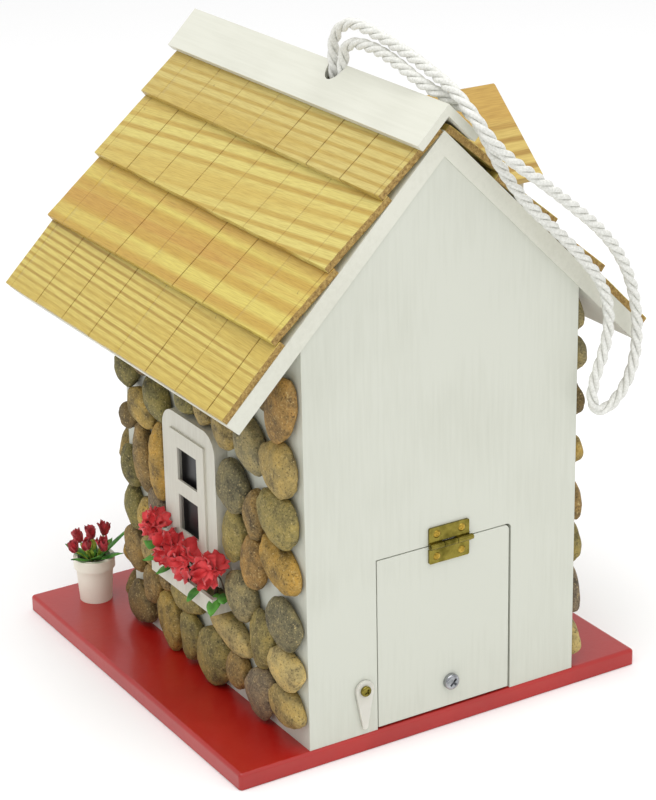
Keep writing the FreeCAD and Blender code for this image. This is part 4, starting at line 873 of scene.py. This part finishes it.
# ---- Flower pot ----
# A turned wooden pot, painted off-white, with cloth tulip heads, buds and pointed leaves.
pot_white = white_paint("off_white_pot_paint", "#F3F0E0", "#E2DCCB", (6, 6, 6))
finish_cad(("flower_pot",), pot_white)
soil_dark = plant_material("potting_moss", "#33341C", "#5C5A30", 2)
finish_cad(("flower_pot_soil",), soil_dark)
pot_low, pot_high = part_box("flower_pot")
pot_mid = Vector(((pot_low.x + pot_high.x) / 2, (pot_low.y + pot_high.y) / 2, pot_high.z))
verts, faces = [], []
chance = random.Random(31)
tulips = [(5.5, 5.0, 10.5), (-6.5, -2.5, 11.5), (-2.0, 5.5, 8.0), (3.0, -7.5, 8.5), (0.5, -1.0, 12.0),
          (8.0, -2.0, 7.0)]
for number, (x, y, z) in enumerate(tulips):
    spot = pot_mid + Vector((x, y, z - 4.5)) * MM
    lean = Vector((x * 0.05, y * 0.05, 1)).normalized()
    for petal in range(5):
        turn = 2 * math.pi * petal / 5 + number
        way = lean + Vector((math.cos(turn), math.sin(turn), 0)) * chance.uniform(0.35, 0.9)
        length = chance.uniform(5.5, 7.0)
        width = chance.uniform(3.6, 4.8)
        blade(spot, way, lean + way * -0.4, length, width, 0.35, 0.9, 0, chance.uniform(0, 99), verts,
              faces)
pot_blooms = piece("pot_tulips", verts, faces, [petal_deep])
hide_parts("flower_pot_blooms")
verts, faces = [], []
for number, (turn, rise, length, width) in enumerate((
        (20, 0.5, 13, 5.5), (75, 0.8, 12, 5), (135, 0.45, 12, 6), (200, 0.7, 11, 5), (255, 0.5, 13, 6),
        (310, 0.6, 12, 5.5), (160, 1.1, 20, 4.5))):
    angle = math.radians(turn)
    root = pot_mid + Vector((math.cos(angle) * 2.5, math.sin(angle) * 2.5, -1.5)) * MM
    way = Vector((math.cos(angle), math.sin(angle), rise))
    up_side = Vector((-way.x, -way.y, 1.2))
    blade(root, way, up_side, length, width, -0.18, 0.4, 1, number * 2.3, verts, faces, LEAF_GRID,
          LEAF_THICK)
pot_leaves = piece("pot_leaves", verts, faces, [leaf_green])
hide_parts("flower_pot_leaves")
verts, faces = [], []
for number in range(7):
    x, y, z = tulips[number % 6]
    foot = pot_mid + Vector((x * 0.3, y * 0.3, -2.4)) * MM
    top = pot_mid + Vector((x, y, z - 4.0)) * MM
    bend = foot.lerp(top, 0.5) + Vector((0, 0, 0.8)) * MM
    tube(evenly([foot, bend, top], STEM_STEP), 0.4 * MM, 6, verts, faces)
for number in range(9):
    turn = number * 2.4
    root = pot_mid + Vector((math.cos(turn) * 3.5, math.sin(turn) * 3.5, 1.0)) * MM
    blade(root, Vector((math.cos(turn), math.sin(turn), 1.6)), Vector((0, 0.2, 1)), 5, 2.4, 0.2, 0.8, 1,
          number * 5.1, verts, faces)
piece("pot_buds", verts, faces, [bud_green])

# ---- Studio ----
# A pale floor under soft even light: a bright surround, a wide lamp overhead and one by the camera.
floor_paint, tree, shader = material("studio_floor", "#FFFFFF", 0.9)
bpy.ops.mesh.primitive_plane_add(size=12, location=(0, 0, -0.0003))
floor = bpy.context.active_object
floor.name = "studio_floor"
floor.data.materials.append(floor_paint)
world = bpy.data.worlds.new("studio")
world.use_nodes = True
world.node_tree.nodes["Background"].inputs[0].default_value = (1, 1, 1, 1)
world.node_tree.nodes["Background"].inputs[1].default_value = 0.8
bpy.context.scene.world = world


def lamp(name, place, target, size, watts):
    """A square soft lamp aimed at a point."""
    light = bpy.data.lights.new(name, "AREA")
    light.size = size
    light.energy = watts
    made = bpy.data.objects.new(name, light)
    bpy.context.scene.collection.objects.link(made)
    made.location = place
    made.rotation_euler = (Vector(place) - Vector(target)).to_track_quat("Z", "Y").to_euler()


lamp("overhead_lamp", (0.2, 0.3, 1.6), (0, 0, 0), 1.6, 16)
lamp("camera_side_lamp", (-0.5, 1.3, 0.9), (0, 0, 0.12), 0.8, 1.2)
bpy.context.scene.view_settings.view_transform = "Standard"
